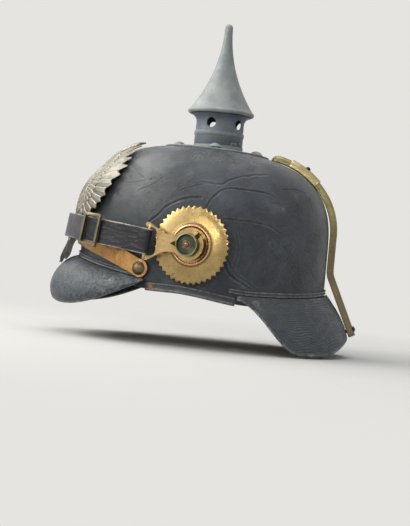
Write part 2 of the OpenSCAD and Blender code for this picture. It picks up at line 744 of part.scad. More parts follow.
// The head looks to the wearer's right. Its outline runs from that side of the neck to the other.
head_outline = [
    [-0.1, 95], [-0.12, 98.8], [-0.17, 99.2], [-0.2, 98], [-0.195, 101.5], [-0.15, 105], [-0.1, 108.5],
    [-0.02, 110], [0.05, 108], [0.09, 103], [0.1, 95]
];
module emblem_outline() {
    half = wings_w / 2;
    drawn_for = 116;
    rise = crown_h - drawn_for;
    // The upper half follows the height of the crown
    function put(q) = [q[0] * half, q[1] + rise * max(0, min(1, (q[1] - 50) / 60))];
    side = [for (q = half_outline) put(q)];
    other = [for (k = [len(side) - 2 : -1 : 0]) [-side[k][0], side[k][1]]];
    polygon(concat(side, other, [for (q = head_outline) put(q)]));
}
// Offset of the plate's back from the leather at a height
function emblem_off(z) =
    emblem_stand + emblem_swell * smooth((crown_h - emblem_swell_below - z) / emblem_swell_run)
    + emblem_kick * max(0, emblem_kick_z - z);
// s runs from 0 at the foot over the share low at the spring line to 1 at the top
function emblem_point(a, s, o) =
    let (low = 0.3, f = 75 * (s - low) / (1 - low))
    let (z = s > low ? crown(a, f)[2] : (spring_h - lean * plan_y(a)) * s / low, out = emblem_off(z) + o)
    s > low ? crown(a, f, out) : [plan_x(a, out), plan_y(a, out), z];
module front_plate() {
    rows = 18;
    function grid(o) = [
        for (i = [0 : rows]) [
            for (j = [-emblem_columns : 2 : emblem_columns])
                emblem_point(-90 + emblem_half_turn * j / emblem_columns, i / rows, o)
        ]
    ];
    color([0.62, 0.6, 0.55]) intersection() {
        between(grid(emblem_t), grid(0));
        rotate([90, 0, 0]) linear_extrude(front_y * -2) emblem_outline();
    }
}
module emblem_post_frames() {
    for (side = [0, 1]) mirror([side, 0, 0])
        facing(crown(emblem_post_a, emblem_post_f), crown_normal(emblem_post_a, emblem_post_f)) children();
}
// Millimetres along a post for each millimetre of offset of the crown
emblem_rate = (crown(emblem_post_a, emblem_post_f, 1) - crown(emblem_post_a, emblem_post_f))
    * crown_normal(emblem_post_a, emblem_post_f);
emblem_nut_top = -leather_t * emblem_rate - seat - 0.4;
module plate_posts() {
    low = emblem_nut_top - 3;
    top = emblem_off(crown(emblem_post_a, emblem_post_f)[2]) * emblem_rate - seat - 0.1;
    color([0.6, 0.58, 0.5]) emblem_post_frames() translate([0, 0, low])
        cylinder(r = emblem_post_r, h = top - low);
}
module plate_nuts() {
    color([0.6, 0.5, 0.3]) emblem_post_frames() translate([0, 0, emblem_nut_top - 2]) difference() {
        cylinder(r = 4, h = 2, $fn = 6);
        translate([0, 0, -1]) cylinder(r = emblem_post_r + running / 2, h = 4);
    }
}

// Side post: shank, foot, neck and a dished head with a rivet
flange_w = 1.5;
disc_w = 3;
eye_w = 9;
eye_t = 1.6;
head_w = 12.5;
head_t = 3.2;
module side_post() {
    color([0.33, 0.34, 0.25]) at_post() {
        translate([0, 0, -leather_t - 3.6]) cylinder(r = post_shank_r, h = leather_t + flange_w + 4.1);
        translate([0, 0, flange_w]) cylinder(r = 9, h = disc_w - flange_w - seat);
        translate([0, 0, flange_w]) cylinder(r = post_neck_r + 0.6, h = disc_w + 1.5 - flange_w);
        translate([0, 0, flange_w]) cylinder(r = post_neck_r, h = head_w - flange_w + 1);
        translate([0, 0, head_w]) difference() {
            cylinder(r = post_head_r, h = head_t);
            translate([0, 0, head_t - 1]) cylinder(r = post_head_r - 1.4, h = 2);
        }
        translate([0, 0, head_w + head_t - 1.2]) domed_head(2.4, 1.6);
    }
}
module left_side_post() {
    side_post();
}
module right_side_post() {
    mirrored() side_post();
}
module post_nut() {
    at_post() translate([0, 0, -leather_t - 3.4]) difference() {
        cylinder(r = 4.5, h = 2, $fn = 6);
        translate([0, 0, -1]) cylinder(r = post_shank_r + running / 2, h = 4);
    }
}
module post_nuts() {
    color([0.55, 0.47, 0.3]) {
        post_nut();
        mirrored() post_nut();
    }
}

// Toothed rosette with a raised ring
module rosette() {
    sheet = 0.9;
    ring_r = rosette_r * 0.485;
    bore = post_neck_r + 0.6 + running;
    star = [
        for (k = [0 : 2 * teeth - 1])
            let (r = rosette_r - tooth_d * (k % 2), a = 180 * k / teeth) [r * cos(a), r * sin(a)]
    ];
    color([0.74, 0.58, 0.22]) at_post() translate([0, 0, disc_w]) {
        intersection() {
            rotate_extrude($fn = 96) polygon([
                [bore, 0], [ring_r - 2.2, 0], [rosette_r - 5, -0.3], [rosette_r + 1, -1],
                [rosette_r + 1, -1 + sheet], [rosette_r - 5, sheet - 0.3],
                [ring_r - 2.2, sheet], [bore, sheet]
            ]);
            translate([0, 0, -3]) linear_extrude(6) polygon(star);
        }
        translate([0, 0, sheet - 0.2]) rotate_extrude($fn = 96)
            translate([ring_r, 0]) circle(r = 1.2, $fn = 24);
    }
}
module left_rosette() {
    rosette();
}
module right_rosette() {
    mirrored() rosette();
}

// Strap fitting: an open eye on the post, a waist and two arms that carry the strap's bar
bar_r = 1.25;
eye_r = 11.7;
arm_r = 1.8;
arm_z = strap_w / 2 + 3;
eye_mid = eye_w + eye_t / 2;
// The hinge axis of the strap runs along X through the middle of the eyes
hinge_y = -(sin(post_yaw) * eye_mid) + post_foot[1];
bar_x = post_foot[0] + cos(post_yaw) * eye_mid - sin(post_yaw) * fitting_len;
bar_y = hinge_y - cos(post_yaw) * fitting_len;
bar_drop = 0.4;
bar_z = post_h - bar_drop;
module fitting_outline() {
    waist = 6.6;
    crotch = fitting_len - 7.6;
    steps = [0 : 0.125 : 1];
    outer = [
        for (t = steps) [bend(waist, 5.2, 11.4, arm_z + arm_r, t),
            -bend(12, fitting_len - 11, fitting_len - 7.9, fitting_len, t)]
    ];
    inner = [
        for (t = steps) [bend(arm_z - arm_r, 10.9, 8.6, 0, t),
            -bend(fitting_len, crotch - 0.3, crotch, crotch, t)]
    ];
    circle(r = eye_r, $fn = 64);
    for (side = [0, 1]) mirror([side, 0]) {
        polygon(concat([[-0.2, -8], [waist, -8]], outer, inner, [[-0.2, -crotch]]));
        translate([arm_z, -fitting_len]) circle(r = arm_r, $fn = 32);
    }
}
module strap_fitting() {
    color([0.62, 0.5, 0.24]) {
        at_post() translate([0, 0, eye_w]) difference() {
            linear_extrude(eye_t) fitting_outline();
            translate([0, 0, -1]) cylinder(r = post_neck_r + 0.7, h = 4);
            translate([0, 0, -1]) linear_extrude(4) polygon([[-2.6, -9], [2.6, -9], [0, -14.5]]);
            rotate([0, 0, 45]) translate([-1.75, 0, -1]) cube([3.5, 14, 4]);
        }
        strap_frame() translate([bar_x, 0, -arm_z - 0.8]) cylinder(r = bar_r, h = 2 * arm_z + 1.6, $fn = 32);
    }
}
module left_strap_fitting() {
    strap_fitting();
}
module right_strap_fitting() {
    mirrored() strap_fitting();
}

// Frame of the strap's loop: X across, -Y forwards, origin between the two bars
strap_front = (front_y - strap_stand - bar_y) / cos(strap_slope);
strap_r = (bar_x * bar_x + strap_front * strap_front) / (-2 * strap_front);
strap_mid = strap_front + strap_r;
bar_a = asin(-strap_mid / strap_r);
module strap_frame() {
    translate([0, bar_y, bar_z]) rotate([-strap_slope, 0, 0]) children();
}
// A length of strap between two angles from the wearer's left, at an offset from the loop's line
module strap_layer(from, to, offset_in) {
    translate([0, strap_mid, -strap_w / 2]) rotate([0, 0, -to]) rotate_extrude(angle = to - from, $fn = 160)
        translate([strap_r + offset_in, 0]) square([strap_t, strap_w]);
}
layer_gap = seat / 2;
// Angle at which the front strap ends and the loops begin
front_end = buckle_at + 5.7;
module chinstrap() {
    color([0.13, 0.13, 0.17]) strap_frame() strap_layer(front_end + 0.2, 180 - front_end - 0.2, layer_gap);
}
module strap_loop() {
    wrap_r = bar_r + seat;
    start = -bar_a + 1;
    color([0.12, 0.13, 0.16]) strap_frame() difference() {
        union() {
            strap_layer(start, front_end - 0.2, layer_gap);
            strap_layer(start, front_end + 8, -layer_gap - strap_t);
            translate([bar_x, 0, -strap_w / 2]) cylinder(r = wrap_r + strap_t, h = strap_w);
        }
        translate([bar_x, 0, -strap_w]) cylinder(r = wrap_r, h = 2 * strap_w);
    }
}
module left_strap_loop() {
    strap_loop();
}
module right_strap_loop() {
    mirrored() strap_loop();
}

// Rectangular buckle that slides along the strap
module rounded_plate(l, h, r) {
    square([l - 2 * r, h], center = true);
    square([l, h - 2 * r], center = true);
    for (x = [-1, 1]) for (y = [-1, 1])
        translate([x * (l / 2 - r), y * (h / 2 - r)]) circle(r = r, $fn = 32);
}
module buckle() {
    wire = 2.2;
    inner_h = strap_w + 1.4;
    face = strap_r + layer_gap + strap_t + seat;
    back = strap_r - layer_gap - strap_t - seat;
    color([0.5, 0.45, 0.33]) strap_frame() translate([0, strap_mid, 0]) rotate([0, 0, -buckle_at]) {
        translate([face, 0, 0]) rotate([90, 0, 90]) linear_extrude(2.2) difference() {
            rounded_plate(buckle_len, inner_h + 2 * wire, 1.6);
            square([buckle_len - 2 * wire, inner_h], center = true);
        }
        for (side = [-1, 1]) translate([back - 2, -1.2, side * (inner_h / 2 + wire / 2) - 1])
            cube([face - back + 3, 2.4, 2]);
        translate([back - 2, -1.2, -inner_h / 2 - wire / 2]) cube([2, 2.4, inner_h + wire]);
    }
}
module left_buckle() {
    buckle();
}
module right_buckle() {
    mirrored() buckle();
}

// Brass band round the front, over the piping of the visor
band_stud_y = -45;
band_end = angle_of(band_stud_y);
band_low = 17.7;
band_rise = front_rise + 9.3;
band_o = seat + piping_t + seat;
band_shank_r = 1.2;
function band_z(a) =
    band_low + band_rise * pow(max(0, (band_stud_y - plan_y(a)) / (band_stud_y - front_y)), 0.9);
module front_band() {
    steps = 44;
    r = band_w / 2;
    // The rounded end reaches beyond the stud by its own radius
    from = angle_of(band_stud_y + r * 0.97);
    sweep = 90 + from;
    grid = [
        for (i = [0 : 4]) [
            for (k = [0 : steps])
                let (a = -90 - sweep * sin(90 * (2 * k / steps - 1)), p = plan(a, band_o + band_t))
                let (tip = min(r, abs(plan_y(a) - plan_y(from)) * 1.05))
                let (h = max(0.2, sqrt(max(0, r * r - pow(r - tip, 2)))))
                [p[0], p[1], band_z(a) + h * (i / 2 - 1)]
        ]
    ];
    color([0.72, 0.57, 0.25]) difference() {
        sheet_down(grid, band_t);
        band_stud_frames() translate([0, 0, -8]) cylinder(r = band_shank_r + running, h = 20);
    }
}
module band_stud_frames() {
    p = plan(band_end, 0);
    n = plan_normal(band_end);
    for (side = [0, 1]) mirror([side, 0, 0])
        facing([p[0], p[1], band_z(band_end)], [n[0], n[1], 0]) children();
}
module band_studs() {
    top = band_o + band_t + seat;
    low = -leather_t - 1;
    color([0.75, 0.6, 0.3]) band_stud_frames() {
        translate([0, 0, top]) domed_head(band_stud_r, 3.2);
        translate([0, 0, low]) cylinder(r = band_shank_r, h = top - low + 0.3);
    }
}

shell();
edge_binding();
front_visor();
neck_guard();
front_piping();
rear_piping();
sweatband();
liner_tongues();
base_plate();
bayonet_pins();
base_studs();
stud_washers();
spike_cone();
spike_neck();
rear_spine();
vent_slide();
slide_knob();
spine_screw();
spine_nut();
front_plate();
plate_posts();
plate_nuts();
left_side_post();
right_side_post();
post_nuts();
left_rosette();
right_rosette();
left_strap_fitting();
right_strap_fitting();
chinstrap();
left_strap_loop();
right_strap_loop();
left_buckle();
right_buckle();
front_band();
band_studs();
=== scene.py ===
"""Spiked leather helmet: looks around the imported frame. Metres, +Z up the spike, front -Y, wearer's left +X.
Shapes are worked out in millimetres and scaled when a mesh is made."""

import math
from itertools import permutations, product

import bmesh
import bpy
import numpy as np
from mathutils import Matrix, Vector, geometry


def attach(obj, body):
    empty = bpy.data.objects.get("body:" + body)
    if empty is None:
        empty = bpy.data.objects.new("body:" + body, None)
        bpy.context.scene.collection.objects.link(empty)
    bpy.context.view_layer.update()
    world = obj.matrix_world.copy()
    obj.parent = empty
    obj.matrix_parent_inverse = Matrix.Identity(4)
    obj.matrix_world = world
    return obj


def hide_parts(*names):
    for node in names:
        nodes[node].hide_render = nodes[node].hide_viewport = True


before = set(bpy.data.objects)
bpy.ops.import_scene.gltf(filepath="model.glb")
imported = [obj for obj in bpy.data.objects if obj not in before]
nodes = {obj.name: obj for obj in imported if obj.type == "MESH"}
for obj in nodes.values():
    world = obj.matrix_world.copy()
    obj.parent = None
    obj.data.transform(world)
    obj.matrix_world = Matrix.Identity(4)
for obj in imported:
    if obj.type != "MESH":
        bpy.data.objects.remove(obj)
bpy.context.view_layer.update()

# Camera

AZ, EL, ROLL = math.radians(3.698), math.radians(0.082), math.radians(5.375)
DIST, FOCAL_PX = 1.09565, 1369.57
TARGET = Vector((0, -0.00161, 0.025997))
PHOTO_W, SENSOR_W = 410, 36.0


def camera():
    d = Vector((math.cos(EL) * math.cos(AZ), math.cos(EL) * math.sin(AZ), math.sin(EL)))
    level = Vector((-math.sin(AZ), math.cos(AZ), 0))
    upright = d.cross(level)
    right = math.cos(ROLL) * level + math.sin(ROLL) * upright
    up = -math.sin(ROLL) * level + math.cos(ROLL) * upright
    data = bpy.data.cameras.new("camera")
    data.sensor_fit = "HORIZONTAL"
    data.sensor_width = SENSOR_W
    data.lens = FOCAL_PX / PHOTO_W * SENSOR_W
    data.clip_start, data.clip_end = 0.05, 50
    cam = bpy.data.objects.new("camera", data)
    rows = [[right[k], up[k], d[k], TARGET[k] + DIST * d[k]] for k in range(3)]
    cam.matrix_world = Matrix(rows + [[0, 0, 0, 1]])
    bpy.context.scene.collection.objects.link(cam)
    bpy.context.scene.camera = cam


camera()

# Numbers on arrays


def sm(t):
    """A smooth step from 0 to 1."""
    t = np.clip(t, 0, 1)
    return t * t * (3 - 2 * t)


def hump(x, width):
    """1 at x = 0, falling smoothly to both sides."""
    return np.exp(-((x / width) ** 2))


def dome(x, half):
    """1 at x = 0, falling to 0 at half and beyond."""
    return np.clip(1 - (x / half) ** 2, 0, 1)


def lattice(ix, iy, iz, seed):
    h = (ix * 374761393 + iy * 668265263 + iz * 1440662683 + seed * 974634777) & 0xFFFFFFFF
    h = ((h ^ (h >> 13)) * 1274126177) & 0xFFFFFFFF
    return (h ^ (h >> 16)) / 4294967295.0


def noise(p, size, seed):
    """Smooth noise from 0 to 1 at points in millimetres."""
    q = p / np.asarray(size, float)
    i = np.floor(q).astype(np.int64)
    f = sm(q - i)
    out = 0
    for corner in product((0, 1), repeat=3):
        w = 1.0
        for axis, far in enumerate(corner):
            w = w * (f[..., axis] if far else 1 - f[..., axis])
        out = out + w * lattice(*(i[..., k] + corner[k] for k in range(3)), seed)
    return out


def wobble(p, size, seed):
    """Three noises from -0.5 to 0.5, to shift points by."""
    return np.stack([noise(p, size, seed + k) for k in range(3)], -1) - 0.5


def layered(p, size, seed, octaves, step, folded):
    total, amp, norm = 0, 1.0, 0
    for k in range(octaves):
        layer = noise(p, np.asarray(size, float) / 2**k, seed + step * k)
        total = total + amp * (1 - abs(2 * layer - 1) if folded else layer)
        norm += amp
        amp *= 0.5
    return total / norm


def fbm(p, size, seed, octaves):
    return layered(p, size, seed, octaves, 17, False)


def ridged(p, size, seed, octaves):
    return layered(p, size, seed, octaves, 31, True)


def cells(p, size, seed):
    """Distance to the nearest border between random cells, as a share of the cell size."""
    q = p / size
    i = np.floor(q).astype(np.int64)
    f = q - i
    first = np.full(p.shape[:-1], 9.0)
    second = first.copy()
    for near in product((-1, 0, 1), repeat=3):
        j = [i[..., k] + near[k] for k in range(3)]
        d = np.sqrt(sum((near[k] + lattice(*j, seed + k) - f[..., k]) ** 2 for k in range(3)))
        second = np.minimum(second, np.maximum(first, d))
        first = np.minimum(first, d)
    return second - first


def line_dist(p, line):
    """Distance from points to an open line of points, and how far along it they lie from 0 to 1."""
    best = np.full(p.shape[:-1], 1e9)
    along = np.zeros(p.shape[:-1])
    line = np.asarray(line, float)
    n = len(line) - 1
    for k in range(n):
        a, ab = line[k], line[k + 1] - line[k]
        t = np.clip(((p - a) @ ab) / max(1e-9, ab @ ab), 0, 1)
        d = np.linalg.norm(p - a - t[..., None] * ab, axis=-1)
        better = d < best
        best = np.where(better, d, best)
        along = np.where(better, (k + t) / n, along)
    return best, along


def curve(points, count):
    """A smooth line through points, evenly spaced."""
    p = np.asarray(points, float)
    q = np.vstack([2 * p[0] - p[1], p, 2 * p[-1] - p[-2]])
    out = []
    for a, b, c, d in zip(q, q[1:], q[2:], q[3:]):
        square, cube = 2 * a - 5 * b + 4 * c - d, 3 * b - a - 3 * c + d
        for t in np.linspace(0, 1, 16, endpoint=False):
            out.append(b + 0.5 * ((c - a) * t + square * t**2 + cube * t**3))
    out.append(p[-1])
    return respace(np.array(out), count)


def run_length(line):
    """How far along a line each of its points lies."""
    return np.concatenate([[0], np.cumsum(np.linalg.norm(np.diff(line, axis=0), axis=1))])


def respace(line, count):
    s = run_length(line)
    w = np.linspace(0, s[-1], count)
    return np.stack([np.interp(w, s, line[:, k]) for k in range(line.shape[1])], -1)


# Meshes


def linked(name, me, material, values):
    """The object of a smooth mesh, with the values of each name at its vertices."""
    me.polygons.foreach_set("use_smooth", [True] * len(me.polygons))
    for key, arr in values.items():
        full = np.zeros(len(me.vertices))
        full[: len(arr)] = arr
        me.attributes.new(key, "FLOAT", "POINT").data.foreach_set("value", full)
    me.materials.append(material.m)
    ob = bpy.data.objects.new(name, me)
    bpy.context.scene.collection.objects.link(ob)
    return ob


def piece(name, v, faces, material, body, replaced, values=None, sharp=None):
    """A closed mesh from millimetre points, riding on a body."""
    v = np.asarray(v, float)
    vol = 0
    for b, c in ((1, 2), (2, 3))[: faces.shape[1] - 2]:
        vol += (v[faces[:, 0]] * np.cross(v[faces[:, b]], v[faces[:, c]])).sum()
    if vol < 0:
        faces = faces[:, ::-1]
    me = bpy.data.meshes.new(name)
    me.from_pydata((v / 1000).tolist(), [], faces.tolist())
    me.validate(clean_customdata=False)
    ob = linked(name, me, material, values or {})
    me.update()
    if sharp:
        me.set_sharp_from_angle(angle=math.radians(sharp))
    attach(ob, body)
    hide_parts(*replaced)


def tube(s, ring=False):
    """Points and faces of the closed solid through sections s[m, k, 3], each a closed loop."""
    m, k = s.shape[:2]
    v = s.reshape(-1, 3)
    a = np.arange(m if ring else m - 1)[:, None]
    b = np.arange(k)[None, :]
    a2, b2 = (a + 1) % m, (b + 1) % k
    quads = np.stack([a * k + b, a2 * k + b, a2 * k + b2, a * k + b2], -1).reshape(-1, 4)
    if ring:
        return v, quads
    # each end is closed by strips that pair the loop's two sides, so that it stays flat
    caps = []
    for base in (0, (m - 1) * k):
        lo, hi = base, base + k - 1
        while hi - lo >= 2:
            quad = [lo, lo + 1, max(hi - 1, lo + 2), hi]
            caps.append(quad if base else quad[::-1])
            lo, hi = lo + 1, hi - 1
    return v, np.vstack([quads, np.array(caps)])


def grid_normals(g, ring=False):
    """Normals of a grid of points g[i, j, 3], away from the origin; ring closes it along i."""
    di = np.roll(g, -1, 0) - np.roll(g, 1, 0) if ring else np.gradient(g, axis=0)
    n = np.cross(di, np.gradient(g, axis=1))
    n /= np.maximum(1e-9, np.linalg.norm(n, axis=-1, keepdims=True))
    return n if (n * g).sum() > 0 else -n


def pinch(s, last, second):
    """Draws two sections at each end together, about the line half-way between their sides."""
    for j, share in ((0, last), (1, second), (-2, second), (-1, last)):
        centre = 0.5 * (s[j] + s[j][::-1])
        s[j] = centre + (s[j] - centre) * share


# The frame's own forms, as in the CAD part

HALF_W, HALF_L, MID_Y, EGG, LEAN = 83.0, 98.25, -3.25, 0.08, 0.035
CROWN_H, SPRING_H, LEATHER, SEAT = 116.0, 44.0, 2.6, 0.3
PEAK_T, PIPING_W, PIPING_T, ROOT_LAP = 2.2, 3.7, 1.1, 7.0
VISOR_ROOT_Y, GUARD_ROOT_Y = -41, 29.7
POST_Y, POST_Z, POST_YAW = -6.7, 38.3, math.radians(14)
FRONT_Y, REAR_Y = MID_Y - HALF_L, MID_Y + HALF_L
SIDES = {1: "left", -1: "right"}


def plan_x(a, o=0.0):
    return (HALF_W + o) * np.cos(a) * (1 + EGG * np.sin(a))


def plan_y(a, o=0.0):
    return MID_Y + (HALF_L + o) * np.sin(a)


def plan_normal(a):
    dx = HALF_W * (EGG * np.cos(a) ** 2 - np.sin(a) * (1 + EGG * np.sin(a)))
    dy = HALF_L * np.cos(a)
    n = np.hypot(dx, dy)
    return dy / n, -dx / n


def plan(a, o=0.0):
    nx, ny = plan_normal(a)
    return plan_x(a) + o * nx, plan_y(a) + o * ny


def angle_of(y):
    return math.asin((y - MID_Y) / HALF_L)


def rim_z(a):
    ahead = np.degrees(np.arcsin(np.clip(-np.sin(a), -1, 1)))
    t = np.maximum(0, (ahead - 24) / 66)
    rear = 6 * np.maximum(0, (-ahead - 20) / 70) ** 1.6
    return 3.2 - 6.2 * sm((plan_y(a) + 20) / 62) + 13 * 1.2 * (t - t**6 / 6) + rear


def crown(a, f, o=0.0):
    k = f / (math.pi / 2)
    front, side = 2.25 + 0.9 * k**1.5, 2.8 + 0.9 * k * k
    p = side + (np.where(np.sin(a) < 0, front, 2.95) - side) * np.sin(a) ** 2
    u = np.maximum(np.cos(f), 1e-9) ** (2 / p)
    w = np.sin(f) ** (2 / p)
    x = plan_x(a, o) * u
    y = MID_Y + (HALF_L + o) * np.sin(a) * u
    return np.stack([x, y, SPRING_H + (CROWN_H - SPRING_H + o) * w - LEAN * y], -1)


VISOR_END, GUARD_END, POST_A = angle_of(VISOR_ROOT_Y), angle_of(GUARD_ROOT_Y), angle_of(POST_Y)


def bend(a, b, c, d, t):
    return a * (1 - t) ** 3 + 3 * b * t * (1 - t) ** 2 + 3 * c * t * t * (1 - t) + d * t**3


def drooped(root, edge, out, down, t):
    """From root to edge, sideways as out says and downwards as down says."""
    u, w = bend(0, *out, 1, t), bend(0, *down, 1, t)
    return np.stack([a + (b - a) * way for a, b, way in zip(root, edge, (u, u, w))], -1)


def visor_point(v, t):
    half_w, length = plan_x(VISOR_END) + 6, VISOR_ROOT_Y - FRONT_Y + 19
    c, s = np.cos(math.pi / 2 * v), np.sin(math.pi / 2 * v)
    q = np.clip(1 - c, 0, 1)
    end_z = rim_z(VISOR_END) + ROOT_LAP - 1.3
    edge_z = -10 + (10 + end_z) * q**1.8 - 6.3 * np.sin(math.pi * q**0.6)
    a = -math.pi / 2 + (math.pi / 2 + VISOR_END) * v
    root = (*plan(a, SEAT + 0.2 * PEAK_T), rim_z(a) + ROOT_LAP)
    return drooped(root, (half_w * s, VISOR_ROOT_Y - length * c, edge_z), (0.7, 1.45), (0.05, 0.62), t)


def guard_point(v, t):
    half_w, length = plan_x(GUARD_END) + 5.7, REAR_Y + 22 - GUARD_ROOT_Y
    c, s = np.cos(math.pi / 2 * v), np.sin(math.pi / 2 * v)
    edge_z = 1 - 38 * sm(c / 0.6) + 13 * np.maximum(0, (c - 0.6) / 0.4) ** 4
    a = math.pi / 2 - (math.pi / 2 - GUARD_END) * v
    root = (*plan(a, SEAT + 0.8 * PEAK_T), rim_z(a) + ROOT_LAP)
    return drooped(root, (half_w * s, GUARD_ROOT_Y + length * c, edge_z), (0.42, 0.85), (0.3, 0.6), t)


# Shader help


class Tree:
    """A node tree with short calls for its parts."""

    def __init__(self, tree):
        self.t = tree

    def put(self, socket, value):
        if isinstance(value, bpy.types.NodeSocket):
            self.t.links.new(value, socket)
        else:
            socket.default_value = value

    def node(self, kind, values=(), **props):
        """A new node; values are its inputs, in their order or by name."""
        n = self.t.nodes.new(kind)
        for k, v in props.items():
            setattr(n, k, v)
        for k, v in values.items() if isinstance(values, dict) else enumerate(values):
            self.put(n.inputs[k], v)
        return n

    def math(self, op, a, b=0.0, clamp=False):
        return self.node("ShaderNodeMath", (a, b), operation=op, use_clamp=clamp).outputs[0]

    def vector(self, op, *values):
        return self.node("ShaderNodeVectorMath", values, operation=op).outputs

    def seen_directly(self):
        """1 for the camera's rays and for those reflected or let through, else 0."""
        path = self.node("ShaderNodeLightPath").outputs
        total = path["Is Camera Ray"]
        for key in ("Is Glossy Ray", "Is Transmission Ray"):
            total = self.math("ADD", total, path[key], clamp=True)
        return total


class Shade(Tree):
    """A material with its shader."""

    def __init__(self, name):
        self.m = bpy.data.materials.new(name)
        self.m.use_nodes = True
        super().__init__(self.m.node_tree)
        self.b = self.t.nodes["Principled BSDF"]
        self.co = self.node("ShaderNodeTexCoord").outputs["Object"]

    def set(self, **values):
        for k, v in values.items():
            self.put(self.b.inputs[k.replace("_", " ")], v)

    def now(self, name):
        """What an input of the shader gets at this time."""
        return self.b.inputs[name].links[0].from_socket

    def noise(self, size, detail, rough=0.55, colour=False):
        """Noise whose features are about size millimetres across."""
        values = {"Vector": self.co, "Scale": 1000.0 / size, "Detail": detail, "Roughness": rough}
        return self.node("ShaderNodeTexNoise", values).outputs["Color" if colour else "Fac"]

    def grains(self, size):
        """Distance to the nearest of random points about size millimetres apart."""
        values = {"Vector": self.co, "Scale": 1000.0 / size}
        return self.node("ShaderNodeTexVoronoi", values).outputs["Distance"]

    def net(self, scale, stretch, warp, amount):
        """Distance to the nearest border between random cells, with amount of the noise warp added."""
        bent = self.vector("MULTIPLY_ADD", warp, (amount,) * 3, self.co)[0]
        wide = self.node("ShaderNodeMapping", {"Vector": bent, "Scale": stretch}).outputs[0]
        values = {"Vector": wide, "Scale": scale}
        return self.node("ShaderNodeTexVoronoi", values, feature="DISTANCE_TO_EDGE").outputs["Distance"]

    def attr(self, name):
        return self.node("ShaderNodeAttribute", attribute_name=name).outputs["Fac"]

    def axis(self, name):
        """One of the coordinates, in metres."""
        return self.node("ShaderNodeSeparateXYZ", (self.co,)).outputs[name]

    def mul(self, a, b):
        return self.math("MULTIPLY", a, b)

    def band(self, value, lo, hi, to_lo=0.0, to_hi=1.0):
        """A smooth step, from to_lo where value is lo to to_hi where it is hi."""
        values = {"Value": value, "From Min": lo, "From Max": hi, "To Min": to_lo, "To Max": to_hi}
        return self.node("ShaderNodeMapRange", values, interpolation_type="SMOOTHSTEP").outputs["Result"]

    def mix(self, fac, a, b):
        values = {"Factor": fac, "A": col(a), "B": col(b)}
        return self.node("ShaderNodeMix", values, data_type="RGBA").outputs["Result"]

    def bump(self, height, distance, strength, normal=None):
        """height times distance, in millimetres, as relief, on top of the relief in normal."""
        values = {"Height": height, "Distance": distance / 1000.0, "Strength": strength}
        if normal is not None:
            values["Normal"] = normal
        return self.node("ShaderNodeBump", values).outputs["Normal"]


def col(c):
    """A colour given as 0-255 display values turned into linear light; a socket passes."""
    if isinstance(c, bpy.types.NodeSocket):
        return c
    out = []
    for v in c[:3]:
        v = v / 255.0
        out.append(v / 12.92 if v <= 0.04045 else ((v + 0.055) / 1.055) ** 2.4)
    return (*out, 1.0)


# Materials


def shell_leather():
    s = Shade("lacquered_leather")
    warp = s.noise(9, 2, 0.5, colour=True)
    big = s.noise(34, 4, 0.6)
    fine = s.noise(2.2, 4, 0.65)
    wear, crack, pebble = s.attr("wear"), s.attr("crack"), s.attr("pebble")
    base = s.mix(s.band(big, 0.35, 0.68), (36, 41, 49), (56, 62, 71))
    base = s.mix(s.band(fine, 0.45, 0.8, 0, 0.3), base, (80, 87, 93))
    # greyer and paler towards the brow: partly wear, partly a painted sheen where the front light falls
    brow = s.mul(s.band(s.axis("Y"), -0.01, -0.075, 0, 0.75), s.band(s.axis("Z"), 0.035, 0.075))
    base = s.mix(s.mul(brow, s.band(s.noise(12, 4, 0.65), 0.3, 0.6, 0.5, 1)), base, (94, 98, 96))
    # a net of hair cracks in the lacquer
    net = s.net(6.0, (166, 166, 166), warp, 0.006)
    net_small = s.net(2.1, (480, 480, 480), warp, 0.004)
    hair = s.mul(s.band(net, 0.0, 0.05, 1, 0), s.band(s.noise(40, 2), 0.4, 0.6, 0.1, 0.9))
    hair2 = s.mul(s.band(net_small, 0.0, 0.09, 1, 0), s.band(s.noise(26, 3), 0.42, 0.6))
    lines = s.math("MAXIMUM", hair, s.mul(hair2, 0.7))
    base = s.mix(s.mul(lines, 0.6), base, (20, 22, 26))
    base = s.mix(crack, base, (15, 16, 19))
    scuff = s.mul(wear, s.band(s.noise(1.6, 4, 0.7), 0.35, 0.7))
    base = s.mix(s.mul(scuff, 0.75), base, (134, 138, 138))
    top_of = s.band(s.grains(1.9), 0.6, 0.15)
    grains = s.mix(top_of, (32, 36, 41), (112, 116, 116))
    base = s.mix(s.band(pebble, 0.14, 0.5, 0, 0.65), base, grains)
    specks = s.band(s.noise(1.1, 1, 0.5), 0.74, 0.8)
    base = s.mix(s.mul(specks, 0.4), base, (146, 148, 146))
    s.set(Base_Color=base)
    rough = s.band(s.noise(18, 4, 0.6), 0.3, 0.7, 0.3, 0.44)
    rough = s.math("ADD", rough, s.mul(scuff, 0.25), clamp=True)
    s.set(Roughness=rough, Specular_IOR_Level=0.45)
    grain = s.grains(0.85)
    n = s.bump(grain, 0.10, 0.55)
    n = s.bump(s.mul(pebble, s.grains(1.5)), 0.6, 0.95, n)
    n = s.bump(fine, 0.18, 0.6, n)
    n = s.bump(s.math("SUBTRACT", 0.0, lines), 0.24, 0.95, n)
    s.set(Normal=n)
    return s


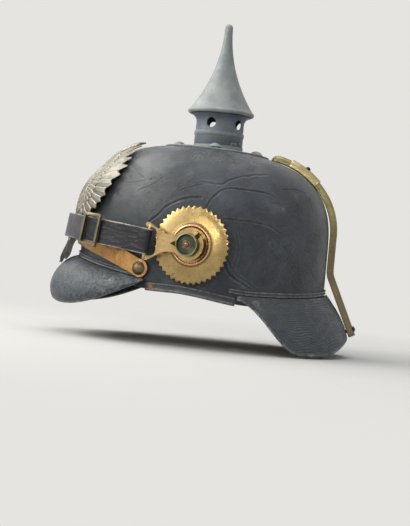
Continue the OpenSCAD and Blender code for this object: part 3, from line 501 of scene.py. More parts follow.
def peak_leather():
    """Visor and guard: the lacquer has greyed and crazed, with painted highlights on the wrinkles' ridges and
    painted shade in their troughs.
    """
    s = Shade("crazed_leather")
    warp = s.noise(6, 2, 0.5, colour=True)
    relief, wear = s.attr("relief"), s.attr("wear")
    base = s.mix(s.band(s.noise(26, 3, 0.5), 0.3, 0.7), (48, 54, 61), (58, 65, 72))
    # paler on the ridges of the relief and darker in its troughs: painted highlight and painted shade
    base = s.mix(s.band(relief, 0.55, 0.92, 0, 0.65), base, (98, 105, 109))
    base = s.mix(s.band(relief, 0.42, 0.12, 0, 0.8), base, (27, 31, 36))
    base = s.mix(s.mul(wear, s.band(s.noise(1.8, 4, 0.7), 0.35, 0.6)), base, (152, 154, 147))
    net = s.net(1, (820, 820, 1100), warp, 0.003)
    lines = s.band(net, 0.0, 0.1, 1, 0)
    base = s.mix(s.mul(lines, 0.5), base, (40, 44, 49))
    s.set(Base_Color=base, Roughness=s.band(s.noise(7, 3), 0.3, 0.7, 0.42, 0.6), Specular_IOR_Level=0.5)
    n = s.bump(s.noise(1.1, 4, 0.65), 0.2, 0.7)
    n = s.bump(s.math("SUBTRACT", 0.0, lines), 0.13, 0.8, n)
    s.set(Normal=n)
    return s


def edge_leather():
    s = Shade("edge_leather")
    ridge = s.attr("ridge")
    base = s.mix(s.band(s.noise(6, 4, 0.65), 0.35, 0.65), (30, 33, 37), (50, 55, 59))
    edge = s.mul(ridge, s.band(s.noise(3.2, 4, 0.7), 0.3, 0.62))
    base = s.mix(edge, base, (112, 115, 111))
    stain = s.attr("stain")
    base = s.mix(s.mul(stain, s.band(s.noise(1.2, 3), 0.3, 0.6)), base, (150, 98, 48))
    s.set(Base_Color=base, Roughness=s.band(s.noise(3, 3), 0.3, 0.7, 0.4, 0.62))
    n = s.bump(s.grains(0.9), 0.12, 0.6)
    s.set(Normal=s.bump(s.noise(3, 4, 0.7), 0.35, 0.6, n))
    return s


def strap_leather(name, dark, light, worn):
    s = Shade(name)
    base = s.mix(s.band(s.noise(14, 4, 0.65), 0.35, 0.65), dark, light)
    crease = s.attr("relief")
    # darker in the creases' troughs and paler on their ridges: painted shade and painted highlight
    base = s.mix(s.band(crease, 0.45, 0.1), base, (14, 14, 18))
    base = s.mix(s.band(crease, 0.78, 0.95, 0, 0.45), base, (84, 85, 92))
    edge = s.mul(s.attr("wear"), s.band(s.noise(2.4, 4, 0.7), 0.28, 0.52))
    base = s.mix(edge, base, worn)
    s.set(Base_Color=base, Roughness=s.band(s.noise(5, 4), 0.3, 0.7, 0.36, 0.55), Specular_IOR_Level=0.32)
    n = s.bump(s.grains(0.8), 0.12, 0.6)
    s.set(Normal=s.bump(s.noise(2.5, 5, 0.7), 0.3, 0.7, n))
    return s


def liner_leather(name, dark, light):
    s = Shade(name)
    base = s.mix(s.band(s.noise(22, 5, 0.65), 0.32, 0.68), dark, light)
    base = s.mix(s.band(s.noise(5, 4, 0.7), 0.52, 0.72, 0, 0.6), base, (52, 34, 20))
    s.set(Base_Color=base, Roughness=s.band(s.noise(9, 3), 0.3, 0.7, 0.55, 0.75))
    n = s.bump(s.grains(0.7), 0.14, 0.7)
    s.set(Normal=s.bump(s.noise(8, 4, 0.6), 0.5, 0.5, n))
    return s


def grey_paint():
    s = Shade("grey_paint")
    big = s.noise(13, 4, 0.6)
    base = s.mix(s.band(big, 0.32, 0.68), (107, 113, 115), (128, 133, 132))
    base = s.mix(s.band(s.noise(3.4, 4, 0.7), 0.55, 0.75, 0, 0.5), base, (134, 140, 138))
    chips = s.band(s.noise(2.2, 2, 0.5), 0.73, 0.77)
    base = s.mix(s.mul(chips, 0.8), base, (52, 50, 46))
    s.set(Base_Color=base, Roughness=s.band(s.noise(6, 4), 0.3, 0.7, 0.42, 0.6), Specular_IOR_Level=0.45)
    n = s.bump(s.noise(1.0, 3, 0.6), 0.05, 0.6)
    s.set(Normal=s.bump(big, 0.5, 0.35, n))
    return s


def neck_paint():
    """The neck's paint is stained brown above the plate; a paler band on its ring is a painted highlight."""
    s = Shade("grey_paint_stained")
    z = s.axis("Z")
    big = s.noise(13, 4, 0.6)
    base = s.mix(s.band(big, 0.32, 0.68), (78, 87, 97), (95, 104, 112))
    # painted highlight: a paler band round the ring's soft shoulder
    ring = s.mul(s.band(z, 0.1262, 0.1282), s.band(z, 0.1312, 0.1297))
    base = s.mix(s.mul(ring, s.band(s.noise(4, 3), 0.3, 0.6, 0.3, 0.9)), base, (112, 119, 120))
    below = s.band(z, 0.1287, 0.1242)
    stain = s.mul(below, s.band(s.noise(7, 4, 0.6), 0.42, 0.62))
    base = s.mix(s.mul(stain, 0.5), base, (86, 83, 70))
    chips = s.band(s.noise(2.0, 2, 0.5), 0.72, 0.77)
    base = s.mix(s.mul(chips, 0.7), base, (60, 54, 44))
    s.set(Base_Color=base, Roughness=s.band(s.noise(6, 4), 0.3, 0.7, 0.44, 0.62), Specular_IOR_Level=0.45)
    s.set(Normal=s.bump(s.noise(1.1, 3, 0.6), 0.06, 0.6))
    return s


def metal(name, dark, light, rough, spot=None, spot_size=3.0, scratch=0.03, metallic=1.0):
    s = Shade(name)
    base = s.mix(s.band(s.noise(12, 4, 0.65), 0.32, 0.68), dark, light)
    if spot:
        base = s.mix(s.band(s.noise(spot_size, 4, 0.7), 0.54, 0.7, 0, 0.85), base, spot)
    s.set(Base_Color=base, Metallic=metallic)
    s.set(Roughness=s.band(s.noise(7.2, 4, 0.65), 0.3, 0.7, *rough))
    n = s.bump(s.noise(0.9, 3, 0.6), scratch, 0.8)
    s.set(Normal=s.bump(s.noise(7, 3, 0.5), 0.25, 0.4, n))
    return s


def tinted(s, fac, colour):
    """The metal with a colour laid over its own where fac says."""
    s.set(Base_Color=s.mix(fac, s.now("Base Color"), colour))
    return s


def post_distance(s, side):
    """Distance from the side post's axis, in metres, and the direction round it."""
    foot = Vector((side * plan_x(POST_A), POST_Y, POST_Z)) / 1000
    axis = Vector((side * math.cos(POST_YAW), -math.sin(POST_YAW), 0))
    cross = s.vector("CROSS_PRODUCT", s.vector("SUBTRACT", s.co, foot)[0], axis)[0]
    return s.vector("LENGTH", cross)["Value"], cross


def ring_at(s, r, a, b, c, d):
    """1 between radii b and c, falling to 0 at a and d."""
    return s.mul(s.band(r, a, b), s.band(r, d, c))


def rosette_metal(side):
    """Spun gilt sheet with a copper-coloured raised ring."""
    name = "gilt_sheet_" + SIDES[side]
    s = metal(name, (154, 130, 86), (178, 154, 106), (0.22, 0.32), (142, 116, 74), 6, 0.02)
    r, round_axis = post_distance(s, side)
    tinted(s, ring_at(s, r, 0.0126, 0.0132, 0.0153, 0.0159), (192, 150, 112))
    tinted(s, s.mul(ring_at(s, r, 0.0153, 0.0157, 0.0160, 0.0170), 0.7), (92, 64, 34))
    tinted(s, s.mul(s.band(r, 0.0262, 0.0292), 0.4), (140, 110, 60))
    # the sheet is dished a little outside its ring
    dish = s.mul(s.mul(r, r), -2800.0)
    s.set(Anisotropic=0.6, Tangent=round_axis, Normal=s.bump(dish, 1.0, 1.0, s.now("Normal")))
    return s


def post_metal(side):
    """A dark green head with turned rings round a pinkish rivet."""
    s = metal("green_bronze_" + SIDES[side], (44, 48, 37), (64, 68, 52), (0.3, 0.44))
    r = post_distance(s, side)[0]
    turned = s.math("SINE", s.mul(r, 5200.0))
    tinted(s, s.band(turned, 0.0, 0.9, 0, 0.55), (92, 94, 72))
    tinted(s, ring_at(s, r, 0.0074, 0.0078, 0.0082, 0.0086), (118, 120, 98))
    tinted(s, s.band(r, 0.0032, 0.0026), (128, 98, 86))
    s.set(Normal=s.bump(turned, 0.12, 0.8))
    return s


def lower_end(s, top, bottom, share, colour):
    """The metal takes on a colour from the height top down to bottom, in metres."""
    return tinted(s, s.band(s.axis("Z"), top, bottom, 0, share), colour)


def spine_metal():
    """Khaki brass, darker towards its lower end."""
    s = metal("khaki_brass", (122, 112, 76), (146, 136, 96), (0.34, 0.5), (104, 96, 64), 5, 0.05)
    return lower_end(s, 0.075, 0.035, 0.7, (96, 84, 70))


def slide_metal():
    """Worn paler than the spine, greyish pink at its lower end."""
    s = metal("worn_khaki_brass", (158, 144, 100), (180, 166, 124), (0.3, 0.46), (156, 134, 104), 5, 0.05)
    return lower_end(s, 0.092, 0.082, 0.8, (150, 136, 126))


def band_metal():
    """Orange brass with a copper tint along its middle."""
    s = metal("orange_brass", (150, 114, 66), (176, 138, 84), (0.3, 0.44), (130, 94, 50), 4, 0.04)
    return tinted(s, s.band(s.noise(24, 2), 0.42, 0.62, 0, 0.55), (172, 124, 96))


M = {
    "shell": shell_leather(),
    "peak": peak_leather(),
    "edge": edge_leather(),
    "strap": strap_leather("strap_black", (12, 13, 19), (23, 25, 34), (178, 170, 152)),
    "front_strap": strap_leather("strap_purple_grey", (46, 44, 50), (64, 61, 67), (150, 142, 138)),
    "sweatband": liner_leather("liner_brown", (96, 66, 42), (134, 98, 64)),
    "tongue": liner_leather("tongue_tan", (122, 90, 58), (158, 122, 82)),
    "paint": grey_paint(),
    "neck": neck_paint(),
    "aged": spine_metal(),
    "slide": slide_metal(),
    "band": band_metal(),
    "inner": metal("dull_brass", (112, 92, 52), (138, 114, 66), (0.36, 0.5), (84, 68, 40)),
    "dark": metal("dark_steel", (46, 44, 40), (66, 62, 54), (0.38, 0.52), (92, 66, 40)),
    "left_post": post_metal(1),
    "right_post": post_metal(-1),
    "fitting": metal("dull_gilt", (158, 132, 90), (184, 158, 114), (0.26, 0.4), (128, 104, 68), 3.5, 0.04),
    "buckle": metal("grey_brass", (106, 98, 80), (132, 122, 98), (0.34, 0.5), (78, 70, 54), 3, 0.05),
    "left_rosette": rosette_metal(1),
    "right_rosette": rosette_metal(-1),
}

# Material, rounding of the edges in millimetres, nodes
DRESS = [
    ("paint", 0, "bayonet_pins base_studs"),
    ("paint", 0.1, "spike_cone"),
    ("paint", 0.2, "base_plate"),
    ("neck", 0.12, "spike_neck"),
    ("aged", 0, "band_studs"),
    ("aged", 0.15, "rear_spine"),
    ("slide", 0.15, "vent_slide"),
    ("dark", 0, "slide_knob spine_screw"),
    ("inner", 0, "stud_washers spine_nut plate_posts plate_nuts post_nuts"),
    ("left_post", 0.3, "left_side_post"),
    ("right_post", 0.3, "right_side_post"),
    ("left_rosette", 0.12, "left_rosette"),
    ("right_rosette", 0.12, "right_rosette"),
    ("fitting", 0.3, "left_strap_fitting right_strap_fitting"),
    ("buckle", 0.55, "left_buckle right_buckle"),
    ("band", 0.2, "front_band"),
]


def dress_frame():
    for key, eased, names in DRESS:
        for name in names.split():
            ob = nodes[name]
            ob.data.materials.clear()
            ob.data.materials.append(M[key].m)
            if eased:
                ob.modifiers.new("weld", "WELD").merge_threshold = 0.000005
                bev = ob.modifiers.new("eased", "BEVEL")
                bev.width = eased / 1000
                bev.segments = 2
                bev.limit_method = "ANGLE"
                bev.angle_limit = math.radians(32)
                bev.miter_outer = "MITER_ARC"

dress_frame()

# Shell


def lifted(points, outer):
    """Points of (y, z) on the wearer's left, lifted onto the shell."""
    flat = outer.reshape(-1, 3)
    flat = flat[flat[:, 0] > 5]
    gaps = [(flat[:, 1] - y) ** 2 + (flat[:, 2] - z) ** 2 - 0.02 * flat[:, 0] for y, z in points]
    return [flat[np.argmin(gap)] for gap in gaps]


# (points, width, depth, crack darkness, lip height)
CREASES = [
    ([(-46, 46), (-41, 53), (-35, 59), (-28, 66), (-18, 72), (-6, 74), (0, 73)], 0.9, 0.42, 0.55, 0.24),
    ([(-2, 62), (1, 68), (6, 76), (13, 82), (22, 83), (35, 83), (46, 82), (52, 79)], 0.8, 0.4, 0.75, 0.22),
    ([(12, 58), (16, 59), (28, 60), (42, 59), (50, 57), (60, 52)], 0.7, 0.34, 0.65, 0.2),
    ([(-10, 84), (-4, 86), (10, 86), (18, 90), (33, 95), (44, 97)], 0.8, 0.32, 0.5, 0.16),
    ([(47, 90), (55, 87), (63, 88), (73, 86), (79, 80)], 0.55, 0.34, 0.8, 0.15),
    ([(71, 78), (71, 74), (74, 64)], 0.5, 0.3, 0.7, 0.1),
    ([(14, 32), (18, 28), (22, 20), (32, 14), (40, 9)], 0.9, 0.55, 0.6, 0.35),
    ([(19, 33), (22, 27), (27, 20), (36, 14.5), (44, 10)], 0.7, 0.4, 0.5, 0.25),
    ([(-76, 83), (-62, 82), (-49, 84), (-37, 88)], 0.5, 0.2, 0.5, 0.08),
    ([(-56, 73), (-49, 78), (-38, 84), (-30, 92)], 0.5, 0.2, 0.5, 0.08),
    ([(-60, 95), (-54, 89), (-49, 84), (-50, 74)], 0.5, 0.2, 0.45, 0.08),
    ([(-34, 65), (-23, 81), (-10, 92)], 0.5, 0.16, 0.35, 0.05),
    ([(-20, 78), (-6, 84), (10, 86)], 0.6, 0.22, 0.45, 0.1),
    ([(53, 50), (66, 35), (80, 16)], 0.5, 0.22, 0.55, 0.1),
    ([(61, 52), (71, 37), (80, 19)], 0.5, 0.2, 0.5, 0.1),
    ([(43, 50), (56, 39), (71, 19), (76, 12)], 0.5, 0.22, 0.5, 0.1),
    ([(77, 52), (71, 33), (66, 11)], 0.5, 0.22, 0.5, 0.1),
    ([(86, 38), (82, 27), (78, 16)], 0.5, 0.18, 0.45, 0.1),
    ([(71, 56), (65, 39), (58, 21), (54, 11)], 0.5, 0.2, 0.5, 0.1),
    ([(84, 54), (78, 40), (72, 22)], 0.5, 0.16, 0.4, 0.1),
    ([(24, 52), (27, 38), (25, 22)], 0.8, 0.14, 0.2, 0.06),
    ([(52, 79), (60, 76), (66, 78), (72, 74)], 0.5, 0.22, 0.5, 0.1),
    ([(30, 74), (40, 72), (48, 75), (56, 71)], 0.5, 0.18, 0.35, 0.08),
    ([(84, 66), (80, 72), (76, 82), (68, 92)], 0.5, 0.2, 0.4, 0.1),
]
# (place, radius, depth)
DENTS = [
    ((51, 74), 4.0, 0.5), ((57, 72), 3.0, 0.4), ((-15, 93), 6.0, 0.35), ((-49, 84), 7.0, 0.3),
    ((66, 84), 5.0, 0.35),
]
HOLE_R, NET = 17.0, 7.5


def shell_face(ang, o, count):
    """For each angle a line of points from the rim to the air hole, o outside the leather's face."""
    wall_t, lines = np.linspace(0, 1, 24), []
    for a in ang:
        z0, top = rim_z(a), SPRING_H - LEAN * plan_y(a, o)
        x, y = plan_x(a, o) + 0 * wall_t, plan_y(a, o) + 0 * wall_t
        wall = np.stack([x, y, z0 + wall_t * (top - z0)], -1)
        arc = crown(a, np.radians(np.linspace(0, 90, 420))[1:], o)
        r = np.hypot(arc[:, 0], arc[:, 1])
        keep = int(np.argmax(r < HOLE_R))
        arc = arc[: keep + 1]
        arc[-1] = arc[-2] + (r[keep - 1] - HOLE_R) / (r[keep - 1] - r[keep]) * (arc[-1] - arc[-2])
        lines.append(respace(np.vstack([wall, arc]), count))
    return np.array(lines)


def rounded(a, b, lift, steps):
    """Rounds of points from a over to b, bulging by lift."""
    turns = [math.pi * k / (steps + 1) for k in range(1, steps + 1)]
    return np.stack([a + (b - a) * (0.5 - 0.5 * math.cos(t)) + lift * math.sin(t) for t in turns], 1)


def build_shell():
    columns, n_out, n_in = 900, 270, 40
    ang = np.linspace(0, 2 * math.pi, columns, endpoint=False)
    outer, inner = shell_face(ang, 0.0, n_out), shell_face(ang, -LEATHER, n_in)
    n = grid_normals(outer, True)

    # features are defined on the wearer's left; the other side gets them shifted and softened
    p = outer.copy()
    right = p[..., 0] < 0
    q = np.where(right[..., None], p * [-1, 1, 1] + 7 * wobble(p, 60, 5) + [0, -6, 3], p)
    soft = np.where(right, 0.75, 1.0)
    d = 0.55 * (fbm(p, 30, 3, 3) - 0.5) + 0.16 * (fbm(p, 7, 9, 3) - 0.5)
    crack, wear = np.zeros(p.shape[:2]), np.zeros(p.shape[:2])
    wob = 1.1 * wobble(p, 5, 40)
    for pts, width, depth, dark, lip in CREASES:
        dist, along = line_dist(q + wob, curve(lifted(pts, outer), 30))
        fade = sm(along * 6 + 0.25) * sm((1 - along) * 6 + 0.25) * soft
        d = d - 1.25 * fade * depth * hump(dist, 0.75 * width)
        d = d + 0.7 * fade * lip * hump(dist - 1.8 * width, width)
        crack = np.maximum(crack, np.minimum(1, 1.7 * dark) * fade * hump(dist, 0.7 * width))
        wear = np.maximum(wear, 0.35 * fade * hump(dist - 1.6 * width, 0.6 * width))
    for place, r, depth in DENTS:
        dist = np.linalg.norm(q - lifted([place], outer)[0], axis=-1)
        d = d - soft * depth * hump(dist, r)
        wear = np.maximum(wear, 0.55 * soft * hump(dist, 0.7 * r))
    # two faint nets of finer crossing cracks, mostly low at the rear
    zone = sm((q[..., 1] - 20) / 40) * sm((75 - q[..., 2]) / 30)
    for k, tilt in enumerate((0.78, -0.78)):
        u = q[..., 1] * 0.62 + q[..., 2] * tilt + 10 * (fbm(p, 16, 60 + k, 2) - 0.5)
        gap = abs(((u / NET) % 1) - 0.5) * NET
        on = zone * sm((fbm(p, 14, 70 + k, 2) - 0.42) * 6) * soft
        d = d - on * 0.16 * hump(gap, 0.42)
        crack = np.maximum(crack, on * 0.7 * hump(gap, 0.4))
    # shallow crackle in patches all over
    border = cells(p + 1.6 * wob, 10.0, 91)
    on = sm((fbm(p, 24, 95, 2) - 0.4) * 5)
    d = d - 0.1 * on * hump(border, 0.06)
    crack = np.maximum(crack, 0.3 * on * hump(border, 0.05))
    # pebbled grain and wear close to the base plate, and wear on the rim
    r_axis = np.hypot(p[..., 0], p[..., 1])
    over_rim = p[..., 2] - rim_z(ang)[:, None]
    near_plate = sm((72 - r_axis) / 22) * sm((p[..., 2] - 88) / 12)
    pebble = 0.12 + 0.75 * near_plate * sm((fbm(p, 12, 33, 2) - 0.3) * 3)
    wear = np.maximum(wear, 0.75 * near_plate * sm((r_axis - 40) / 3) * sm((fbm(p, 9, 35, 2) - 0.48) * 5))
    wear = np.maximum(wear, 0.3 * sm((10 - over_rim) / 8) * sm((fbm(p, 6, 37, 2) - 0.5) * 4))
    # flat where the plate, the rim's trims and the front band lie on the leather
    flat = sm((over_rim - 11) / 4) * sm((r_axis - 41) / 3)
    d = np.minimum(d * (0.25 + 0.75 * flat), 0.16 + 0.06 * flat)
    outer = outer + d[..., None] * n
    inner = inner + (0.3 * (fbm(inner, 14, 80, 3) - 0.5) - 0.1)[..., None] * grid_normals(inner, True)

    low = rounded(inner[:, 0], outer[:, 0], np.array([0, 0, -0.15]), 3)
    high = rounded(outer[:, -1], inner[:, -1], 0, 1)
    s = np.concatenate([low, outer, high, inner[:, ::-1]], 1)

    def spread(x, fill=0.0):
        full = np.full(s.shape[:2], fill)
        full[:, low.shape[1] : low.shape[1] + n_out] = x
        return full.reshape(-1)

    v, faces = tube(s, ring=True)
    values = {"wear": spread(wear), "crack": spread(crack), "pebble": spread(pebble, 0.1)}
    piece("leather_shell", v, faces, M["shell"], "helmet", ["shell"], values)


build_shell()

# Visor and neck guard


def levelled(r, reach=9):
    """Takes slow changes out of a field and spreads the rest over 0 to 1."""
    slow = r
    for axis in (0, 1):
        pad = [(0, 0), (0, 0)]
        pad[axis] = (reach + 1, reach)
        total = np.cumsum(np.pad(slow, pad, mode="edge"), axis=axis)
        total = np.moveaxis(total, axis, 0)
        slow = np.moveaxis((total[2 * reach + 1 :] - total[: -2 * reach - 1]) / (2 * reach + 1), 0, axis)
    r = r - slow
    return np.clip(0.5 + r / (4.2 * r.std()), 0, 1)


def build_peak(name, point, columns, rows, seed, node, stretch, wavy):
    v = np.linspace(-1, 1, columns)
    # columns close up towards the two ends, where the outline turns
    v = np.sin(v * math.pi / 2) * 0.35 + v * 0.65
    v, t = np.meshgrid(v, np.linspace(0, 1, rows), indexing="ij")
    top = point(v, t)
    n = grid_normals(top)
    if n[columns // 2, rows // 2, 2] < 0:
        n = -n
    # wrinkles of the crazed lacquer
    q = top + 2.2 * wobble(top, 6, seed)
    rel = 0.62 * ridged(q, stretch, seed + 5, 2) + 0.38 * ridged(q, np.asarray(stretch) * 0.55, seed + 9, 2)
    if wavy:
        # long waves that follow the edge, bent by a slow noise
        slow, quick = fbm(top, 22, seed + 11, 3) - 0.5, fbm(top, 4, seed + 12, 2) - 0.5
        reach = (1 - t) * 46 + 14 * slow + 1.8 * quick
        where = 0.6 * sm((fbm(top, 16, seed + 13, 2) - 0.25) * 4)
        rel = rel * (1 - where) + where * (0.5 + 0.5 * np.sin(reach * 2 * math.pi / 1.9))
        amp, ends, least = 0.26, 0.7 * sm((abs(v) - 0.8) * 8), 0.42
    else:
        rel = rel * (0.75 + 0.25 * sm((abs(v) - 0.45) * 3))
        amp, ends, least = 0.24, 0.45 * sm((abs(v) - 0.62) * 4), 0.5
    rel = levelled(rel)
    broad = 0.5 * (fbm(top, 30, seed + 20, 2) - 0.5)
    d = np.minimum((amp * (rel - 0.62) + broad) * (0.15 + 0.85 * sm(t * 12)), 0.2)
    wear = sm((t - 0.93) / 0.05) * (0.35 + 0.65 * sm((fbm(top, 8, seed + 21, 2) - 0.4) * 5))
    wear = np.maximum(wear, ends * sm((fbm(top, 5, seed + 22, 2) - least) * 5))
    outer = top + d[..., None] * n
    inner = top + (0.12 * (fbm(top, 9, seed + 30, 2) - 0.5) - PEAK_T)[..., None] * n
    # the sheet's edge is set back by its rounding, so that the outline stays
    tangent = np.gradient(top, axis=1)
    tangent /= np.linalg.norm(tangent, axis=-1, keepdims=True)
    h, edge = PEAK_T / 2, []
    for deg in (30, 60, 90, 120, 150):
        r = math.radians(deg)
        edge.append(top[:, -1] + h * ((math.cos(r) - 1) * n[:, -1] + (math.sin(r) - 1) * tangent[:, -1]))
    for face in (outer, inner):
        face[:, -1] -= h * tangent[:, -1]
        face[:, -2] -= 0.4 * h * tangent[:, -2]
    s = np.concatenate([outer, np.stack(edge, 1), inner[:, ::-1]], 1)
    # the two ends are rounded as well
    pinch(s, 0.35, 0.8)

    def spread(x, fill):
        full = np.full(s.shape[:2], fill)
        full[:, :rows] = x
        full[:, rows : rows + len(edge)] = x[:, -1:]
        return full.reshape(-1)

    v, faces = tube(s)
    values = {"relief": spread(rel, 0.4), "wear": spread(wear, 0.0)}
    piece(name, v, faces, M["peak"], "helmet", [node], values)


build_peak("visor_sheet", visor_point, 380, 70, 200, "front_visor", (2.3, 2.3, 1.6), False)
build_peak("guard_sheet", guard_point, 440, 96, 300, "neck_guard", (3.2, 3.2, 1.4), True)

# Piping and edge binding


def swept(ang, sec, seed, amount, side=1):
    """The section at each angle of the plan; its points are (offset, height, how far it wanders)."""
    x, y = plan(ang[:, None], sec[None, :, 0])
    s = np.stack([x, y, rim_z(ang)[:, None] + sec[None, :, 1]], -1)
    wob = amount * (fbm(s * [side, 1, 1], 7, seed, 3) - 0.5) * sec[None, :, 2]
    for k, way in enumerate(plan_normal(ang)):
        s[..., k] += wob * way[:, None]
    return s * [side, 1, 1]


def piping_section():
    low, pts = ROOT_LAP + SEAT, []
    for u in np.linspace(0, 1, 19):
        # two cords at the edges with a hollow between them
        bulge = max(hump(u - 0.17, 0.15), hump(u - 0.83, 0.15))
        edge = math.sqrt(max(0.0, 1 - (2 * u - 1) ** 8))
        pts.append((SEAT + PIPING_T * (0.12 + (0.38 + 0.5 * bulge) * edge), low + PIPING_W * (1 - u), bulge))
    for up in (0.1, PIPING_W * 0.25, PIPING_W * 0.5, PIPING_W * 0.75, PIPING_W - 0.1):
        pts.append((SEAT, low + up, 0))
    return np.array(pts)


def build_piping(name, node, a0, a1, steps):
    sec = piping_section()
    s = swept(np.linspace(a0, a1, steps), sec, 500, 0.16)
    pinch(s, 0.5, 0.85)
    v, faces = tube(s)
    piece(name, v, faces, M["edge"], "helmet", [node], {"ridge": np.tile(sec[:, 2], steps)})


def binding_section():
    inner, leg, fold = -LEATHER - SEAT, 4.6, -SEAT - 0.2
    pts = []
    # outside face from its top edge down, with a cord at the top and at the fold
    for u in np.linspace(0, 1, 17):
        bulge = max(hump(u - 0.1, 0.1), hump(u - 0.93, 0.12))
        out = (0.5 + 0.5 * bulge) * (1 if u else 0.55)
        pts.append((SEAT + PIPING_T * out, leg + u * (fold - leg), bulge))
    # round the fold below the leather
    mid, half = (SEAT + inner) / 2, (SEAT - inner) / 2 + PIPING_T
    for deg in range(-12, -180, -14):
        r = math.radians(deg)
        pts.append((mid + half * math.cos(r), fold + PIPING_T * math.sin(r), 0.6 if deg > -60 else 0.2))
    for u in np.linspace(0, 1, 7):
        pts.append((inner - PIPING_T * 0.9, fold + u * (leg - fold), 0.1))
    heights = (leg, leg * 0.6, leg * 0.25, -SEAT)
    pts += [(inner, z, 0) for z in heights] + [(SEAT, z, 0) for z in heights[::-1]]
    return np.array(pts)


def build_binding(side):
    """The U section's ends are closed across its own outline, not by tube's strips across the gap."""
    sec, steps = binding_section(), 110
    ang = np.linspace(VISOR_END + math.radians(1), GUARD_END - math.radians(1), steps)
    v, faces = tube(swept(ang, sec, 510, 0.2, side))
    me = bpy.data.meshes.new("binding")
    bm = bmesh.new()
    vs = [bm.verts.new(tuple(c / 1000)) for c in v]
    for f in faces[: (steps - 1) * len(sec)]:
        bm.faces.new([vs[i] for i in f])
    caps = [bm.faces.new(end) for end in (vs[: len(sec)], vs[-len(sec) :])]
    bmesh.ops.triangulate(bm, faces=caps)
    bmesh.ops.recalc_face_normals(bm, faces=bm.faces)
    bm.to_mesh(me)
    bm.free()
    # a rusty stain in front of the left post
    y = plan(ang[:, None], sec[None, :, 0])[1]
    stain = hump(y + 36, 1.8) * (sec[None, :, 0] > -1) * (side > 0)
    values = {"ridge": np.tile(sec[:, 2], steps), "stain": stain.reshape(-1)}
    ob = linked(SIDES[side] + "_edge_binding", me, M["edge"], values)
    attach(ob, "helmet")
    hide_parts("edge_binding")


LEAD = math.radians(4.3)
build_piping("front_piping_strip", "front_piping", -math.pi - VISOR_END, VISOR_END, 260)
build_piping("rear_piping_strip", "rear_piping", GUARD_END - LEAD, math.pi - GUARD_END + LEAD, 270)
build_binding(1)
build_binding(-1)

# Front plate: a spread-wing eagle in relief on a bent sheet

EMBLEM_STAND, SPAN = 3.5, 56.0
HALF_OUTLINE = [
    (0.12, 91), (0.2, 96.5), (0.29, 105.5), (0.35, 112), (0.415, 115.5),
    (0.455, 109.5), (0.59, 112.5), (0.61, 106), (0.73, 107.5), (0.73, 101.5), (0.85, 101.5), (0.82, 96),
    (0.94, 94.5), (0.885, 90), (0.99, 87), (0.93, 82.5), (1, 79), (0.94, 75), (0.99, 70.5),
    (0.92, 68.5), (0.955, 65), (0.885, 64.5), (0.9, 59.5), (0.815, 60.5), (0.8, 55.5), (0.715, 58),
    (0.69, 52.5), (0.6, 55.5), (0.56, 50.5), (0.43, 53), (0.4, 46), (0.46, 41), (0.54, 39),
    (0.56, 34), (0.46, 33), (0.34, 36), (0.28, 31), (0.36, 22), (0.24, 18), (0.15, 20), (0.08, 15.4),
    (0, 17),
]
HEAD_OUTLINE = [
    (-0.1, 95), (-0.12, 98.8), (-0.17, 99.2), (-0.2, 98), (-0.195, 101.5), (-0.15, 105), (-0.1, 108.5),
    (-0.02, 110), (0.05, 108), (0.09, 103), (0.1, 95),
]
# The wing's long feathers spread from this point; tips and the notches between them are on the outline
FAN = np.array([17.0, 80.0])


def emblem_off(z):
    return EMBLEM_STAND + 2.7 * sm((CROWN_H - 21 - z) / 24) + 0.34 * np.maximum(0, 50 - z)


def emblem_point(a, s, o):
    low = 0.3
    f = np.radians(np.maximum(75 * (s - low) / (1 - low), 0.01))
    z = np.where(s > low, crown(a, f)[..., 2], (SPRING_H - LEAN * plan_y(a)) * s / low)
    out = emblem_off(z) + o
    wall = np.stack([plan_x(a, out), plan_y(a, out), z], -1)
    return np.where((s > low)[..., None], crown(a, f, out), wall)


def emblem_at(xz, o):
    """The point of the bent sheet that lies straight behind each (x, z) of the front view."""
    a = -math.pi / 2 + np.arcsin(np.clip(xz[:, 0] / 92, -0.99, 0.99))
    s = np.clip((xz[:, 1] - 2) / 118, 0.01, 0.95)
    h = 1e-4
    for _ in range(14):
        p = emblem_point(a, s, o)
        pa = (emblem_point(a + h, s, o) - p) / h
        ps = (emblem_point(a, s + h, o) - p) / h
        ex, ez = xz[:, 0] - p[:, 0], xz[:, 1] - p[:, 2]
        det = pa[:, 0] * ps[:, 2] - ps[:, 0] * pa[:, 2]
        det = np.where(abs(det) < 1e-6, 1e-6, det)
        a = a + np.clip((ex * ps[:, 2] - ez * ps[:, 0]) / det, -0.12, 0.12)
        s = np.clip(s + np.clip((ez * pa[:, 0] - ex * pa[:, 2]) / det, -0.08, 0.08), 0.005, 0.985)
    p = emblem_point(a, s, o)
    n = np.cross(emblem_point(a + h, s, o) - p, emblem_point(a, s + h, o) - p)
    n /= np.linalg.norm(n, axis=-1, keepdims=True)
    n = np.where((n[:, 1] > 0)[:, None], -n, n)
    return np.stack([xz[:, 0], p[:, 1], xz[:, 1]], -1), n


def fan_bounds():
    """Angles of the notches round the fan's centre, from the wing's top down."""
    ang = [math.atan2(z - FAN[1], x * SPAN - FAN[0]) for x, z in HALF_OUTLINE[4:31:2]]
    mids = [0.62 * p + 0.38 * q for p, q in zip(ang[:-1], ang[1:])]
    return np.array([ang[0] + 0.2] + mids + [ang[-1] - 0.2])


def across(t):
    """From -1 to 1 over each whole step of t."""
    return 2 * (t % 1) - 1


def scales(x, z, w, h):
    """Rows of overlapping rounded scales: height from 0 to 1, highest at each lower edge."""
    row = np.floor(z / h)
    fz = z / h - row
    fx = (x / w + 0.5 * (row % 2)) % 1 - 0.5
    over = fz < 1.9 * fx * fx
    row, fz = row - over, fz + over
    fx = (x / w + 0.5 * (row % 2)) % 1 - 0.5
    return np.clip(1 - 0.75 * fz, 0, 1) * (1 - 1.3 * fx * fx)


